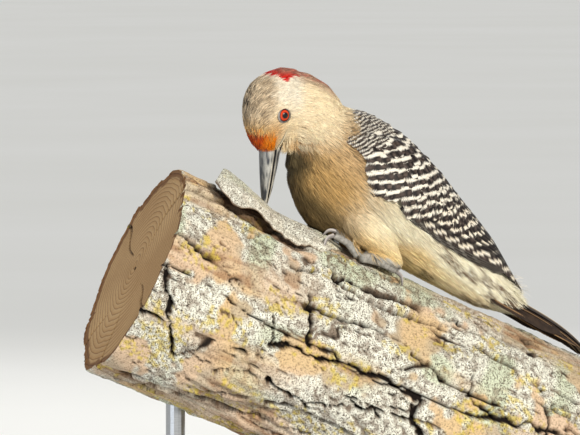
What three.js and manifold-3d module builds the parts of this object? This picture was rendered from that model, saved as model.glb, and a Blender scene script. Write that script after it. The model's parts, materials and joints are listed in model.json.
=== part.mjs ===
// A red-bellied woodpecker, life size, clinging to a cut length of tree limb on a display stand.
// Millimetres, +Z up. The bird faces -X and its left side faces -Y.
// The origin is the centre of the stand base's underside.

import * as THREE from 'three';
import { mergeVertices } from 'three/addons/utils/BufferGeometryUtils.js';
import Module from 'manifold-3d';

const wasm = await Module();
wasm.setup();

// ---------------------------------------------------------------- driving dimensions

const GAP = 0.3; // clearance between neighbouring solids
const LEFT = -1; // sign of Y on the bird's left side
const RIGHT = 1;

// The bird is laid out in its own frame, whose origin lies inside the throat's hollow.
// This is where that frame's origin stands over the base.
const BIRD_ORIGIN = new THREE.Vector3(-30, 0, 215);

// Body axis: slopes down toward the tail. Body coordinates are (along, side, height).
const BODY_SLOPE = THREE.MathUtils.degToRad(43);

// Trunk sections: along, top height, bottom height, half width.
const TRUNK = [
  [-27, 46, 27, 6],
  [-24, 51.5, 21, 14],
  [-17, 56, 14.5, 20],
  [-4, 61, 6.8, 23.5],
  [8.5, 64, 2.4, 25.5],
  [22, 65, 5.4, 26],
  [34, 63, 11, 25],
  [50, 60, 16.5, 21.5],
  [66, 57.8, 21, 17.5],
  [79, 55.8, 24.8, 14],
  [95, 51, 29.5, 10],
  [106, 47.4, 36.5, 7],
  [114, 46, 42, 3.5],
];
const TRUNK_STATIONS = 16;
const TRUNK_SIDES = 18;

// Head: bill points down by this much, and the crown is turned toward the left.
const HEAD_NOD = THREE.MathUtils.degToRad(84.4);
const HEAD_TURN = THREE.MathUtils.degToRad(20);
const HEAD_CENTRE = new THREE.Vector3(-8.5, -1.2, 50);
// Head sections: distance toward the bill, crown height, throat height, half width.
const HEAD = [
  [-20.2, -3, -10, 4.5],
  [-18.6, 1.5, -12.5, 8],
  [-16.7, 4.5, -13, 10.3],
  [-12.6, 10.6, -14, 12.4],
  [-6, 14.3, -13.6, 13],
  [0, 15, -12, 12.6],
  [7, 14, -10, 11],
  [12, 11.3, -7.8, 8.8],
  [15, 9, -6.2, 7],
  [17.3, 6.6, -4.9, 5.2],
];
const HEAD_STATIONS = 14;
const HEAD_SIDES = 18;

// Bill sections: distance from the head's centre, culmen, gonys, half width.
const BILL = [
  [17.6, 4.6, -5, 4.8],
  [22, 4.4, -4.8, 4.4],
  [30, 3.3, -3.9, 3.6],
  [36, 2.4, -3, 2.9],
  [42, 1.2, -1.8, 1.9],
  [45.5, 0.2, -0.8, 0.9],
];
const COMMISSURE = -0.5; // height of the line where the two halves of the bill meet
const BILL_STATIONS = 9;
const LOWER_BILL_SHORTER = 0.8;

const EYE_RADIUS = 3.9;
const EYE_PLACE = { forward: 1.6, crown: 1.5, side: 9.3 };

// Neck: sections fan out about the throat, from the head's plane to the trunk's.
const THROAT = new THREE.Vector3(-0.5, 0, 30.5);
// Fan angle in degrees above +X, outer radius, half width.
const NECK = [
  [125, 34.5, 10.5],
  [105, 38.8, 12.5],
  [82, 38.7, 14],
  [62, 37, 15.6],
  [43, 34.5, 17.4],
];
const NECK_STATIONS = 6;
const NECK_INNER = 0.8; // where the fan's sections start, from the throat
const HEAD_CUT = THREE.MathUtils.degToRad(82); // fan angle of the joint behind the head
const NECK_CUT = -15; // body station of the joint before the trunk

// Folded wing: along, upper edge angle, lower edge angle, both from the back's middle line,
// and how far the feathers stand out from the trunk at the middle of the wing.
const WING = [
  [-9, 66, 78, 1.2],
  [-5, 56, 84, 2.2],
  [5, 42, 89, 3],
  [20, 28, 96, 3.4],
  [35, 17, 100, 3.4],
  [50, 9, 98, 3.4],
  [64, 5, 94, 3.2],
  [80, 4, 82, 3],
  [90, 4, 60, 2.8],
  [102, 5, 34, 3],
  [109.5, 9, 24, 3.4],
];
const WING_STATIONS = 16;
const WING_STEPS = 7;
const WING_DEPTH = 2.2; // depth of the folded wing where it lies clear of the trunk
const WING_EDGE = 0.45; // share of the feathers' height that is left at the wing's edges
// The primaries lie below and behind this line, given in body coordinates.
const PRIMARY_LINE = { from: [36, 29], to: [97, 57] };

// Tail: the upper ridge in body coordinates (along, height).
const TAIL_RIDGE = [[97, 43.4], [110, 46.6], [125, 50], [140, 51.8], [155, 50]];
const TAIL_PAIRS = 5;
const TAIL_SHORTER = [0, 2, 6, 13, 23]; // each pair ends this much before the middle pair
const VANE_STATIONS = 5;
const VANE = {
  halfWidth: 4.8,
  thickness: 1.2,
  inset: 2.6, // of the middle pair from the ridge
  step: 1.9, // outward for each further pair
  drop: 1, // below the pair above
  roll: 12,
  rollStep: 8,
  underlap: 0.4,
};

// Limb: its top line lies this high in limb coordinates, and it slopes like this.
const LIMB_SLOPE = THREE.MathUtils.degToRad(25.2);
const LIMB_TOP = -2;
const LIMB_RADIUS = 50;
const LIMB_FROM = -58;
const LIMB_TO = 172;
const LIMB_STATIONS = 17;
const LIMB_SIDES = 28;

// Loose plate of bark on the limb's top: along the limb, how far its face stands out,
// how much further its lower edge is lifted, and the angles that it spans to the left
// of the limb's top line.
const PLATE = [
  [-39.5, 9.6, 0.2, 3, 22],
  [-37, 9.4, 0.4, -3, 30],
  [-30, 8, 1, -5, 33],
  [-22, 5, 2, -6, 34],
  [-12, 1.2, 2.8, -6, 35],
  [0, 0.9, 1.8, -5, 38],
  [14, 2, 0.2, -4, 32],
  [26, 0.2, 0, -3, 18],
];
const PLATE_THICKNESS = 3.4;
const PLATE_STATIONS = 10;
const PLATE_STEPS = 5;

// Feet: toe base in bird coordinates on the left side; paths are (forward, outward, up).
const FOOT = new THREE.Vector3(27.4, 22, -18);
const RIGHT_FOOT_AHEAD = 3;
const SHANK = [[0, 0, 0.6], [-6, -0.6, 2.6], [-12, -1.2, 4], [-19.5, -2.4, 5.6]];
const SHANK_RADII = [1.8, 1.45, 1.5, 2];
// Two toes point forward and two back; each claw hooks down into the bark.
const TOES = [
  {
    name: '1',
    path: [[-1, -0.5, 0.4], [-4.3, -4, 2.6], [-8.5, -7, 2.4]],
    claw: [[-8.9, -7.2, 2.4], [-11.4, -8.6, 2], [-12.6, -9.6, -1]],
  },
  {
    name: '2',
    path: [[1, -1, 0.6], [6.5, -6, 5], [11.6, -9.8, 7.3]],
    claw: [[12.1, -10, 7.4], [16.2, -10.2, 5.8], [18, -10.4, 1]],
  },
  {
    name: '3',
    path: [[1.4, 0.3, 0.5], [8, -0.6, 4], [14.8, -1, 4.3]],
    claw: [[15.4, -1, 4.2], [18.3, 1.2, 1.2], [18.3, 5, -7.3]],
  },
  {
    name: '4',
    path: [[-1, 1, 0], [-9.6, -1, 2], [-19, -3.6, 1.8]],
    claw: [[-19.6, -3.6, 1.8], [-22.6, -1, 0.2], [-24, 3, -5]],
  },
];
const TOE_RADII = [1.6, 1.5, 1.3];
const CLAW_RADII = [1.15, 0.85, 0.3];

// Feathered thigh in bird coordinates on the left side.
const THIGH = [[24, 13, 2], [31, 17, -4.5], [39.5, 19, -12], [46.3, 19.6, -19.4]];
const THIGH_RADII = [7, 9.5, 6.5, 2.9];

// Stand.
const BASE = { length: 230, width: 130, height: 16, corner: 12, edge: 2 };
const ROD = { radius: 4.5, sides: 16, intoLimb: 12, places: [-55, 92] };

// ---------------------------------------------------------------- colours

function finish(color, roughness, metalness = 0) {
  return new THREE.MeshStandardMaterial({ color, roughness, metalness });
}
const CREAM = finish(0xd9cbb0, 0.9);
const GREY_BUFF = finish(0xc4b59c, 0.9);
const BARRED = finish(0x4a4440, 0.85);
const TAIL_BLACK = finish(0x2c2622, 0.8);
const FOOT_GREY = finish(0x8f8f88, 0.7);
const HORN = finish(0x55555a, 0.4);
const BILL_SLATE = finish(0x6d7078, 0.4);
const EYE_RED = finish(0xb5432a, 0.1);
const BARK = finish(0xa89c88, 0.95);
const STAND_WOOD = finish(0x4c3526, 0.5);
const STEEL = finish(0x9a9da0, 0.35, 1);

// ---------------------------------------------------------------- solids

/** Smooth value of every column of a table at one value of its first column. */
function sample(table, at) {
  const last = table.length - 1;
  let row = 0;
  while (row < last - 1 && at > table[row + 1][0]) row++;
  const [before, a, b, after] = [-1, 0, 1, 2].map((k) => table[THREE.MathUtils.clamp(row + k, 0, last)]);
  const span = b[0] - a[0];
  const u = THREE.MathUtils.clamp((at - a[0]) / span, 0, 1);
  return a.map((value, column) => {
    const leaving = ((b[column] - before[column]) / (b[0] - before[0])) * span;
    const arriving = ((after[column] - value) / (after[0] - a[0])) * span;
    return hermite(value, b[column], leaving, arriving, u);
  });
}

/** Cubic between two values with the given slopes. */
function hermite(from, to, leaving, arriving, u) {
  const rise = to - from;
  return from + u * (leaving + u * (3 * rise - 2 * leaving - arriving + u * (leaving + arriving - 2 * rise)));
}

/** Evenly spaced values from one end to the other. */
function spread(from, to, count) {
  return Array.from({ length: count }, (_, i) => from + ((to - from) * i) / (count - 1));
}

/** Closed skin over a row of rings of points, as a manifold solid. */
function loft(rings) {
  const sides = rings[0].length;
  const points = rings.flat();
  const faces = [];
  for (let ring = 0; ring < rings.length - 1; ring++) {
    for (let side = 0; side < sides; side++) {
      const a = ring * sides + side;
      const b = ring * sides + ((side + 1) % sides);
      faces.push(a, b, b + sides, a, b + sides, a + sides);
    }
  }
  for (const end of [0, rings.length - 1]) {
    const middle = points.length;
    points.push(rings[end].reduce((sum, p) => sum.add(p), new THREE.Vector3()).divideScalar(sides));
    for (let side = 0; side < sides; side++) {
      const a = end * sides + side;
      const b = end * sides + ((side + 1) % sides);
      faces.push(...(end === 0 ? [b, a, middle] : [a, b, middle]));
    }
  }
  const flip = signedVolume(points, faces) < 0;
  return solidOf(points.flatMap((p) => p.toArray()), flip ? faces.toReversed() : faces);
}

/** Six times the volume inside the faces, negative when they point inward. */
function signedVolume(points, faces) {
  let sum = 0;
  for (let i = 0; i < faces.length; i += 3) {
    const [a, b, c] = [points[faces[i]], points[faces[i + 1]], points[faces[i + 2]]];
    sum += a.dot(b.clone().cross(c));
  }
  return sum;
}

/** Manifold solid from raw coordinates and triangle corners. */
function solidOf(coordinates, corners) {
  const vertProperties = Float32Array.from(coordinates);
  const triVerts = Uint32Array.from(corners);
  return new wasm.Manifold(new wasm.Mesh({ numProp: 3, vertProperties, triVerts }));
}

/** Manifold solid from a closed three.js geometry. */
function solidFrom(geometry) {
  const bare = geometry.clone();
  bare.deleteAttribute('normal');
  bare.deleteAttribute('uv');
  const merged = mergeVertices(bare, 1e-4);
  return solidOf(merged.attributes.position.array, merged.index.array);
}

/** Everything on the far side of a plane, as a large box. */
function beyond(point, normal) {
  const size = 600;
  const box = new THREE.BoxGeometry(size, size, size);
  const turn = new THREE.Quaternion().setFromUnitVectors(new THREE.Vector3(0, 0, 1), normal);
  const centre = point.clone().addScaledVector(normal, size / 2 + GAP / 2);
  box.applyQuaternion(turn);
  box.translate(centre.x, centre.y, centre.z);
  return solidFrom(box);
}

/** The largest body of a solid that a cut may have left in pieces. */
function largest(solid) {
  return solid.decompose().reduce((best, piece) => (piece.volume() > best.volume() ? piece : best));
}

/** The two halves of a solid on either side of a thin cut: behind the normal, then ahead of it. */
function split(solid, point, normal) {
  return [normal.clone().negate(), normal].map((n) => solid.intersect(beyond(point, n)));
}

/** Ring of points on an ellipse with two axes. */
function ellipse(centre, across, up, sides) {
  return spread(0, 2 * Math.PI, sides + 1).slice(0, -1).map((angle) =>
    centre.clone().addScaledVector(across, Math.cos(angle)).addScaledVector(up, Math.sin(angle)));
}

/** Round tapering tube through a few points. */
function tube(path, radii, sides, stations, grow = 0) {
  const curve = new THREE.CatmullRomCurve3(path);
  const widths = radii.map((radius, i) => [i / (radii.length - 1), radius]);
  const frames = curve.computeFrenetFrames(stations - 1);
  const ends = [-1, 1].map((end) => curve.getTangentAt((end + 1) / 2).multiplyScalar(end * grow));
  const rings = spread(0, 1, stations).map((u, i) => {
    const radius = sample(widths, u)[1] + grow;
    const centre = curve.getPointAt(u);
    if (i === 0) centre.add(ends[0]);
    if (i === stations - 1) centre.add(ends[1]);
    const across = frames.binormals[i].clone().multiplyScalar(radius);
    return ellipse(centre, across, frames.normals[i].clone().multiplyScalar(radius), sides);
  });
  return loft(rings);
}

const parts = new THREE.Group();

/** Adds a solid to the model as one named mesh. */
function add(name, solid, material, place = [0, 0, 0]) {
  const { vertProperties, triVerts } = largest(solid).getMesh();
  const geometry = new THREE.BufferGeometry();
  geometry.setAttribute('position', new THREE.BufferAttribute(Float32Array.from(vertProperties), 3));
  geometry.setIndex(new THREE.BufferAttribute(Uint32Array.from(triVerts), 1));
  geometry.computeVertexNormals();
  const mesh = new THREE.Mesh(geometry, material);
  mesh.name = name;
  mesh.position.set(...place);
  parts.add(mesh);
}

// ---------------------------------------------------------------- frames

const BODY_ALONG = new THREE.Vector3(Math.cos(BODY_SLOPE), 0, -Math.sin(BODY_SLOPE));
const BODY_UP = new THREE.Vector3(Math.sin(BODY_SLOPE), 0, Math.cos(BODY_SLOPE));
const SIDE = new THREE.Vector3(0, 1, 0);

/** Point from body coordinates. */
function body(along, side, height) {
  return new THREE.Vector3()
    .addScaledVector(BODY_ALONG, along)
    .addScaledVector(SIDE, side)
    .addScaledVector(BODY_UP, height);
}

const LIMB_ALONG = new THREE.Vector3(Math.cos(LIMB_SLOPE), 0, -Math.sin(LIMB_SLOPE));
const LIMB_UP = new THREE.Vector3(Math.sin(LIMB_SLOPE), 0, Math.cos(LIMB_SLOPE));

/** Point from limb coordinates: along it, the angle from its top toward the left, and a radius. */
function limb(along, angle, radius) {
  return new THREE.Vector3()
    .addScaledVector(LIMB_ALONG, along)
    .addScaledVector(LIMB_UP, LIMB_TOP - LIMB_RADIUS + radius * Math.cos(angle))
    .addScaledVector(SIDE, LEFT * radius * Math.sin(angle));
}

const TO_BILL = new THREE.Vector3(-Math.cos(HEAD_NOD), 0, -Math.sin(HEAD_NOD));
const TO_CROWN = new THREE.Vector3(-Math.sin(HEAD_NOD), 0, Math.cos(HEAD_NOD));
TO_CROWN.applyAxisAngle(TO_BILL, -HEAD_TURN);
const TO_LEFT = new THREE.Vector3().crossVectors(TO_CROWN, TO_BILL);

/** Point from head coordinates: toward the bill, the crown and the left side. */
function head(forward, crown, left) {
  return HEAD_CENTRE.clone()
    .addScaledVector(TO_BILL, forward)
    .addScaledVector(TO_CROWN, crown)
    .addScaledVector(TO_LEFT, left);
}

// ---------------------------------------------------------------- body

/** Middle height, half height and half width of the trunk at a station. */
function trunkSection(along) {
  const [, top, bottom, halfWidth] = sample(TRUNK, along);
  return { middle: (top + bottom) / 2, halfHeight: (top - bottom) / 2, halfWidth };
}

/** Point on the trunk, or on a surface standing out from it; the angle is from the back's middle line. */
function onTrunk(along, angle, out = 0, side = RIGHT) {
  const { middle, halfHeight, halfWidth } = trunkSection(along);
  const across = side * (halfWidth + out) * Math.sin(angle);
  return body(along, across, middle + (halfHeight + out) * Math.cos(angle));
}

function trunkSolid(grow = 0) {
  const from = TRUNK[0][0] - grow;
  const to = TRUNK.at(-1)[0] + grow;
  const angles = spread(0, 2 * Math.PI, TRUNK_SIDES + 1).slice(0, -1);
  return loft(spread(from, to, TRUNK_STATIONS).map((along) =>
    angles.map((angle) => onTrunk(along, angle, grow))));
}

function headSolid() {
  return loft(spread(HEAD[0][0], HEAD.at(-1)[0], HEAD_STATIONS).map((forward) => {
    const [, crown, throat, halfWidth] = sample(HEAD, forward);
    const centre = head(forward, (crown + throat) / 2, 0);
    const up = TO_CROWN.clone().multiplyScalar((crown - throat) / 2);
    return ellipse(centre, TO_LEFT.clone().multiplyScalar(halfWidth), up, HEAD_SIDES);
  }));
}

/** Direction of the neck fan at an angle above +X. */
function fan(angle) {
  return new THREE.Vector3(Math.cos(angle), 0, Math.sin(angle));
}

function neckSolid() {
  const rows = NECK.toReversed();
  return loft(spread(rows[0][0], rows.at(-1)[0], NECK_STATIONS).map((degrees) => {
    const [, outer, halfWidth] = sample(rows, degrees);
    const direction = fan(THREE.MathUtils.degToRad(degrees));
    const centre = THROAT.clone().addScaledVector(direction, (outer + NECK_INNER) / 2);
    const up = direction.clone().multiplyScalar((outer - NECK_INNER) / 2);
    return ellipse(centre, SIDE.clone().multiplyScalar(halfWidth), up, TRUNK_SIDES);
  }));
}

/** A half of the bill: a half ellipse above or below the line of the mouth. */
function billSolid(half, shorter) {
  const start = BILL[0][0];
  return loft(spread(start, BILL.at(-1)[0] - shorter, BILL_STATIONS).map((forward) => {
    const [, culmen, gonys, halfWidth] = sample(BILL, forward);
    const line = Math.min(COMMISSURE, culmen - 0.4) + (half * GAP) / 2;
    const rise = half > 0 ? culmen - line : gonys - line;
    return spread(0, Math.PI, 9).map((angle) =>
      head(forward, line + rise * Math.sin(angle) ** 0.8, halfWidth * Math.cos(angle)));
  }));
}

function eyeSolid(side, radius) {
  const sphere = new THREE.SphereGeometry(radius, 11, 8);
  const centre = head(EYE_PLACE.forward, EYE_PLACE.crown, side * EYE_PLACE.side);
  sphere.translate(centre.x, centre.y, centre.z);
  return solidFrom(sphere);
}

/** Folded wing: a curved shell over the trunk's side. */
function wingSolid(side) {
  const steps = spread(0, 1, WING_STEPS);
  return loft(spread(WING[0][0], WING.at(-1)[0], WING_STATIONS).map((along) => {
    const [, upper, lower, height] = sample(WING, along);
    const angleAt = (v) => THREE.MathUtils.degToRad(upper + (lower - upper) * v);
    const swell = (v) => WING_EDGE + (1 - WING_EDGE) * Math.sin(Math.PI * v);
    const outer = steps.map((v) => onTrunk(along, angleAt(v), height * swell(v), side));
    const inner = steps.map((v) => onTrunk(along, angleAt(v), (height - WING_DEPTH) * swell(v), side));
    return [...outer, ...inner.toReversed()];
  }));
}

/** Parts a wing into its primaries, and its coverts with the secondaries. */
function partWing(wing) {
  const [from, to] = [PRIMARY_LINE.from, PRIMARY_LINE.to].map(([along, height]) => body(along, 0, height));
  const normal = to.clone().sub(from).cross(SIDE).normalize();
  return split(wing, from, normal);
}

/** One stiff tail feather with a pointed tip. */
function vaneSolid(pair, side) {
  const ridge = new THREE.CatmullRomCurve3(TAIL_RIDGE.map(([along, height]) => body(along, 0, height)));
  const end = 1 - TAIL_SHORTER[pair] / ridge.getLength();
  const roll = side * THREE.MathUtils.degToRad(VANE.roll + VANE.rollStep * pair);
  return loft(spread(0, 1, VANE_STATIONS).map((u) => {
    const onRidge = ridge.getPointAt(u * end);
    const tangent = ridge.getTangentAt(u * end);
    const up = new THREE.Vector3().crossVectors(SIDE, tangent).negate();
    const across = SIDE.clone().applyAxisAngle(tangent, roll);
    const lift = up.clone().applyAxisAngle(tangent, roll);
    const taper = Math.min(1, 1.9 * (1 - u) ** 0.75 + 0.06);
    const centre = onRidge.addScaledVector(SIDE, side * (VANE.inset + VANE.step * pair * (0.4 + 0.6 * u)));
    centre.addScaledVector(up, -VANE.thickness - VANE.drop * pair - (side === RIGHT ? VANE.underlap : 0));
    const width = VANE.halfWidth * taper;
    const depth = VANE.thickness * (0.5 + 0.5 * taper);
    return [[1, 0], [0.1, 0.7], [-1, 0], [0.1, -0.7]].map(([w, d]) =>
      centre.clone().addScaledVector(across, w * width).addScaledVector(lift, d * depth));
  }));
}

function tailSolid() {
  const vanes = [];
  for (let pair = 0; pair < TAIL_PAIRS; pair++) {
    vanes.push(vaneSolid(pair, LEFT), vaneSolid(pair, RIGHT));
  }
  return vanes.reduce((all, vane) => all.add(vane));
}

// ---------------------------------------------------------------- legs

/** Point from foot coordinates: forward up the limb, outward from the bird, up from the bark. */
function footPoint([forward, outward, up], side) {
  const ahead = forward + (side === RIGHT ? RIGHT_FOOT_AHEAD : 0);
  const base = new THREE.Vector3(FOOT.x, side * FOOT.y, FOOT.z);
  return base
    .addScaledVector(LIMB_ALONG, -ahead)
    .addScaledVector(LIMB_UP, up)
    .addScaledVector(SIDE, side * outward);
}

function footTube(path, radii, side, grow) {
  return tube(path.map((point) => footPoint(point, side)), radii, 6, 5, grow);
}

function thighSolid(side, grow = 0) {
  return tube(THIGH.map(([x, y, z]) => new THREE.Vector3(x, side * y, z)), THIGH_RADII, 12, 7, grow);
}

/** Adds one leg and returns its thickened claws and toes, for the limb to give way to. */
function addLeg(label, side) {
  const pieces = [{ name: `tarsus_${label}`, path: SHANK, radii: SHANK_RADII, material: FOOT_GREY }];
  for (const toe of TOES) {
    pieces.push({ name: `toe_${label}_${toe.name}`, path: toe.path, radii: TOE_RADII, material: FOOT_GREY });
  }
  for (const toe of TOES) {
    pieces.push({ name: `claw_${label}_${toe.name}`, path: toe.claw, radii: CLAW_RADII, material: HORN });
  }
  let taken = thighSolid(side, GAP);
  for (const { name, path, radii, material } of pieces) {
    add(name, footTube(path, radii, side).subtract(taken), material);
    taken = taken.add(footTube(path, radii, side, GAP));
  }
  return taken;
}

// ---------------------------------------------------------------- limb

/** Height of the bark's slow swells and ridges over a plain cylinder. */
function barkRelief(along, angle) {
  const bulge = 1.1 * Math.sin(along / 23 + 1.3) * Math.cos(angle + 0.6);
  const swell = bulge + 0.7 * Math.sin(along / 41 + 3 * angle);
  const ridges = 0.9 * Math.sin(9 * angle + 0.05 * along + 1.2 * Math.sin(along / 17));
  const calmTop = 1 - Math.exp(-((angle / 0.5) ** 2));
  return (swell + ridges) * (0.25 + 0.75 * calmTop);
}

function limbSolid(grow = 0) {
  const angles = spread(-Math.PI, Math.PI, LIMB_SIDES + 1).slice(0, -1);
  return loft(spread(LIMB_FROM, LIMB_TO, LIMB_STATIONS).map((along) =>
    angles.map((angle) => limb(along, angle, LIMB_RADIUS + barkRelief(along, angle) + grow))));
}

/** The loose plate of bark whose free end curls up off the limb. */
function plateSolid(grow = 0) {
  return loft(spread(PLATE[0][0], PLATE.at(-1)[0], PLATE_STATIONS).map((along) => {
    const [, stand, lift, from, to] = sample(PLATE, along);
    const steps = spread(0, 1, PLATE_STEPS);
    const sheet = (out) => steps.map((v) => {
      const angle = THREE.MathUtils.degToRad(from + (to - from) * v);
      return limb(along, angle, LIMB_RADIUS + stand + lift * v ** 2 + out);
    });
    return [...sheet(grow), ...sheet(-PLATE_THICKNESS - grow).toReversed()];
  }));
}

// ---------------------------------------------------------------- assembly

const whole = headSolid().add(neckSolid()).add(trunkSolid());
const headNormal = fan(HEAD_CUT + Math.PI / 2);
const [behindHead, headPiece] = split(whole, THROAT.clone().add(new THREE.Vector3(-2, 0, 0)), headNormal);
const [neckPiece, trunkPiece] = split(behindHead, body(NECK_CUT, 0, 0), BODY_ALONG);

const bark = limbSolid().add(plateSolid());
const barkRoom = limbSolid(GAP).add(plateSolid(GAP));
const wings = { left: wingSolid(LEFT), right: wingSolid(RIGHT) };
const sockets = eyeSolid(1, EYE_RADIUS + GAP).add(eyeSolid(-1, EYE_RADIUS + GAP));

add('head', headPiece.subtract(sockets), GREY_BUFF);
add('upper_bill', billSolid(1, 0).subtract(barkRoom), BILL_SLATE);
add('lower_bill', billSolid(-1, LOWER_BILL_SHORTER).subtract(barkRoom), BILL_SLATE);
add('eye_left', eyeSolid(1, EYE_RADIUS), EYE_RED);
add('eye_right', eyeSolid(-1, EYE_RADIUS), EYE_RED);
add('neck', neckPiece, CREAM);

let legRoom = thighSolid(LEFT, GAP);
for (const [label, side] of [['left', LEFT], ['right', RIGHT]]) {
  add(`thigh_${label}`, thighSolid(side).subtract(barkRoom), CREAM);
  legRoom = legRoom.add(addLeg(label, side));
}
add('trunk', trunkPiece.subtract(legRoom).subtract(barkRoom), CREAM);

const trunkRoom = trunkSolid(GAP);
for (const [label, wing] of Object.entries(wings)) {
  const [primaries, coverts] = partWing(wing.subtract(trunkRoom));
  add(`wing_${label}`, coverts, BARRED);
  add(`primaries_${label}`, primaries, TAIL_BLACK);
}
add('tail', tailSolid().subtract(trunkRoom).subtract(barkRoom), TAIL_BLACK);

let perch = bark.subtract(legRoom);

const specimen = new THREE.Group();
specimen.position.copy(BIRD_ORIGIN);
specimen.add(parts);

// ---------------------------------------------------------------- stand

/** Straight upright rod in bird coordinates. */
function rodSolid(x, from, to, radius) {
  const rod = new THREE.CylinderGeometry(radius, radius, to - from, ROD.sides);
  rod.rotateX(Math.PI / 2);
  rod.translate(x, 0, (from + to) / 2);
  return solidFrom(rod);
}

/** Height of the limb's underside over a place on the bird's X axis. */
function undersideAt(x) {
  const onAxis = limb(0, 0, 0);
  const along = (x - onAxis.x + LIMB_RADIUS * LIMB_UP.x) / LIMB_ALONG.x;
  return limb(along, Math.PI, LIMB_RADIUS).z;
}

ROD.places.forEach((x, i) => {
  const top = undersideAt(x) + ROD.intoLimb;
  const foot = BASE.height + GAP - BIRD_ORIGIN.z;
  add(`stand_rod_${i + 1}`, rodSolid(x, foot, top, ROD.radius), STEEL);
  perch = perch.subtract(rodSolid(x, foot, top + GAP, ROD.radius + GAP));
});
add('perch', perch, BARK);

/** Flat base with round corners and a bevelled edge. */
function baseMesh() {
  const [x, y, r] = [BASE.length / 2 - BASE.edge, BASE.width / 2 - BASE.edge, BASE.corner - BASE.edge];
  const outline = new THREE.Shape();
  outline.absarc(x - r, y - r, r, 0, Math.PI / 2);
  outline.absarc(-x + r, y - r, r, Math.PI / 2, Math.PI);
  outline.absarc(-x + r, -y + r, r, Math.PI, 1.5 * Math.PI);
  outline.absarc(x - r, -y + r, r, 1.5 * Math.PI, 2 * Math.PI);
  const bevel = { bevelEnabled: true, bevelThickness: BASE.edge, bevelSize: BASE.edge, bevelSegments: 1 };
  const depth = BASE.height - 2 * BASE.edge;
  const geometry = new THREE.ExtrudeGeometry(outline, { depth, curveSegments: 4, ...bevel });
  const mesh = new THREE.Mesh(geometry, STAND_WOOD);
  mesh.name = 'stand_base';
  mesh.position.z = BASE.edge;
  return mesh;
}

const model = new THREE.Group();
model.add(specimen, baseMesh());

export default model;
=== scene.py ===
"""A red-bellied woodpecker on a cut length of limb, held by a display stand.

Lengths are millimetres in the bird's own frame, whose origin is inside the throat's hollow,
and they become metres in the row frame when a mesh is made. The bird faces -X, left is -Y.
"""

import json
import math

import bpy
import numpy as np
from mathutils import Matrix, Vector
from mathutils.bvhtree import BVHTree

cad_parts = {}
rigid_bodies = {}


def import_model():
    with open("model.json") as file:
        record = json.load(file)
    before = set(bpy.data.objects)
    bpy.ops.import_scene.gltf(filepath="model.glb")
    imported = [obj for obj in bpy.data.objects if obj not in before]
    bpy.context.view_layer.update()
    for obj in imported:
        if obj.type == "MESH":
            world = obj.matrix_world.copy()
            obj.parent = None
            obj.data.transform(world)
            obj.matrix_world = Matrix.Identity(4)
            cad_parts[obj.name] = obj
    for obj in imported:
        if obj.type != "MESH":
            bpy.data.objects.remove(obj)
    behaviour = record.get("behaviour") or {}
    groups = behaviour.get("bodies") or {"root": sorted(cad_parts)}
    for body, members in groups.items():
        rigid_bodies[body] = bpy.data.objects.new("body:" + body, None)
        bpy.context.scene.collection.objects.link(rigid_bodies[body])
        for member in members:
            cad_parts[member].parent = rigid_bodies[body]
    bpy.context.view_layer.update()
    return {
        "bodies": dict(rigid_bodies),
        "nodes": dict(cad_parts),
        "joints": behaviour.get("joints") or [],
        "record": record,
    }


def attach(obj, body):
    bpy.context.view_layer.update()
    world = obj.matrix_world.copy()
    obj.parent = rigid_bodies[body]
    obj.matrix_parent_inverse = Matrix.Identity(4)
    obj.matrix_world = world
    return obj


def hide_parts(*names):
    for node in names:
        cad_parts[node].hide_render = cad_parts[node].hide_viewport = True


ORIGIN = np.array([-30.0, 0.0, 215.0])  # bird frame's origin in the row frame
LEFT, RIGHT = -1.0, 1.0
SIDES = (("left", LEFT), ("right", RIGHT))
HEAD_SIDES = (("left", 1), ("right", -1))  # along the head's own left axis
ACROSS = np.array([0, 1.0, 0])
FULL_TURN = 2 * math.pi
RNG = np.random.default_rng(7)

# ---------------------------------------------------------------- camera and view
AIM = (-0.030, 0.0, 0.215)
CAMERA_AZIMUTH = math.radians(-15)
CAMERA_ELEVATION = math.radians(3)
CAMERA_DISTANCE = 3.0
LENS = 400.3

# ---------------------------------------------------------------- body measures
BODY_SLOPE = math.radians(43)
BODY_ALONG = np.array([math.cos(BODY_SLOPE), 0, -math.sin(BODY_SLOPE)])
BODY_UP = np.array([math.sin(BODY_SLOPE), 0, math.cos(BODY_SLOPE)])
HEAD_NOD = math.radians(84.4)
HEAD_TURN = math.radians(-20)
HEAD_CENTRE = np.array([-8.5, -1.2, 50.0])
THROAT = np.array([-0.5, 0.0, 30.5])
EYE_RADIUS = 3.9
EYE_PLACE = (1.6, 1.5, 9.3)  # toward the bill, toward the crown, to the side
SHELL_MIDDLE = ([-27, -17, 8.5, 34, 66, 95, 114], [36, 35.5, 34, 37.5, 40, 41, 44])

SKIN_VOXEL = 0.5
FLESH_SWELL = 0.3  # joins the flesh's solids across the gaps between them
BODY_COAT = 1.3  # depth of the feathers over the skin of the trunk
HEAD_COAT = 0.55
THROAT_COAT = 1.6  # extra depth in the hollow under the throat
SCUTE_DEPTH = 0.16

LIMB_SLOPE = math.radians(25.2)
LIMB_ALONG = np.array([math.cos(LIMB_SLOPE), 0, -math.sin(LIMB_SLOPE)])
LIMB_UP = np.array([math.sin(LIMB_SLOPE), 0, math.cos(LIMB_SLOPE)])
FLESH = ["head", "neck", "trunk", "thigh_left", "thigh_right", "tarsus_left", "tarsus_right"]
FLESH += [f"toe_{side}_{n}" for side in ("left", "right") for n in (1, 2, 3, 4)]


def unit(v):
    v = np.asarray(v, float)
    return v / np.maximum(np.linalg.norm(v, axis=-1, keepdims=True), 1e-9)


def turn(v, axis, angle):
    """v turned about a unit axis."""
    turned = v * math.cos(angle) + np.cross(axis, v) * math.sin(angle)
    return turned + axis * (axis @ v) * (1 - math.cos(angle))


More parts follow.
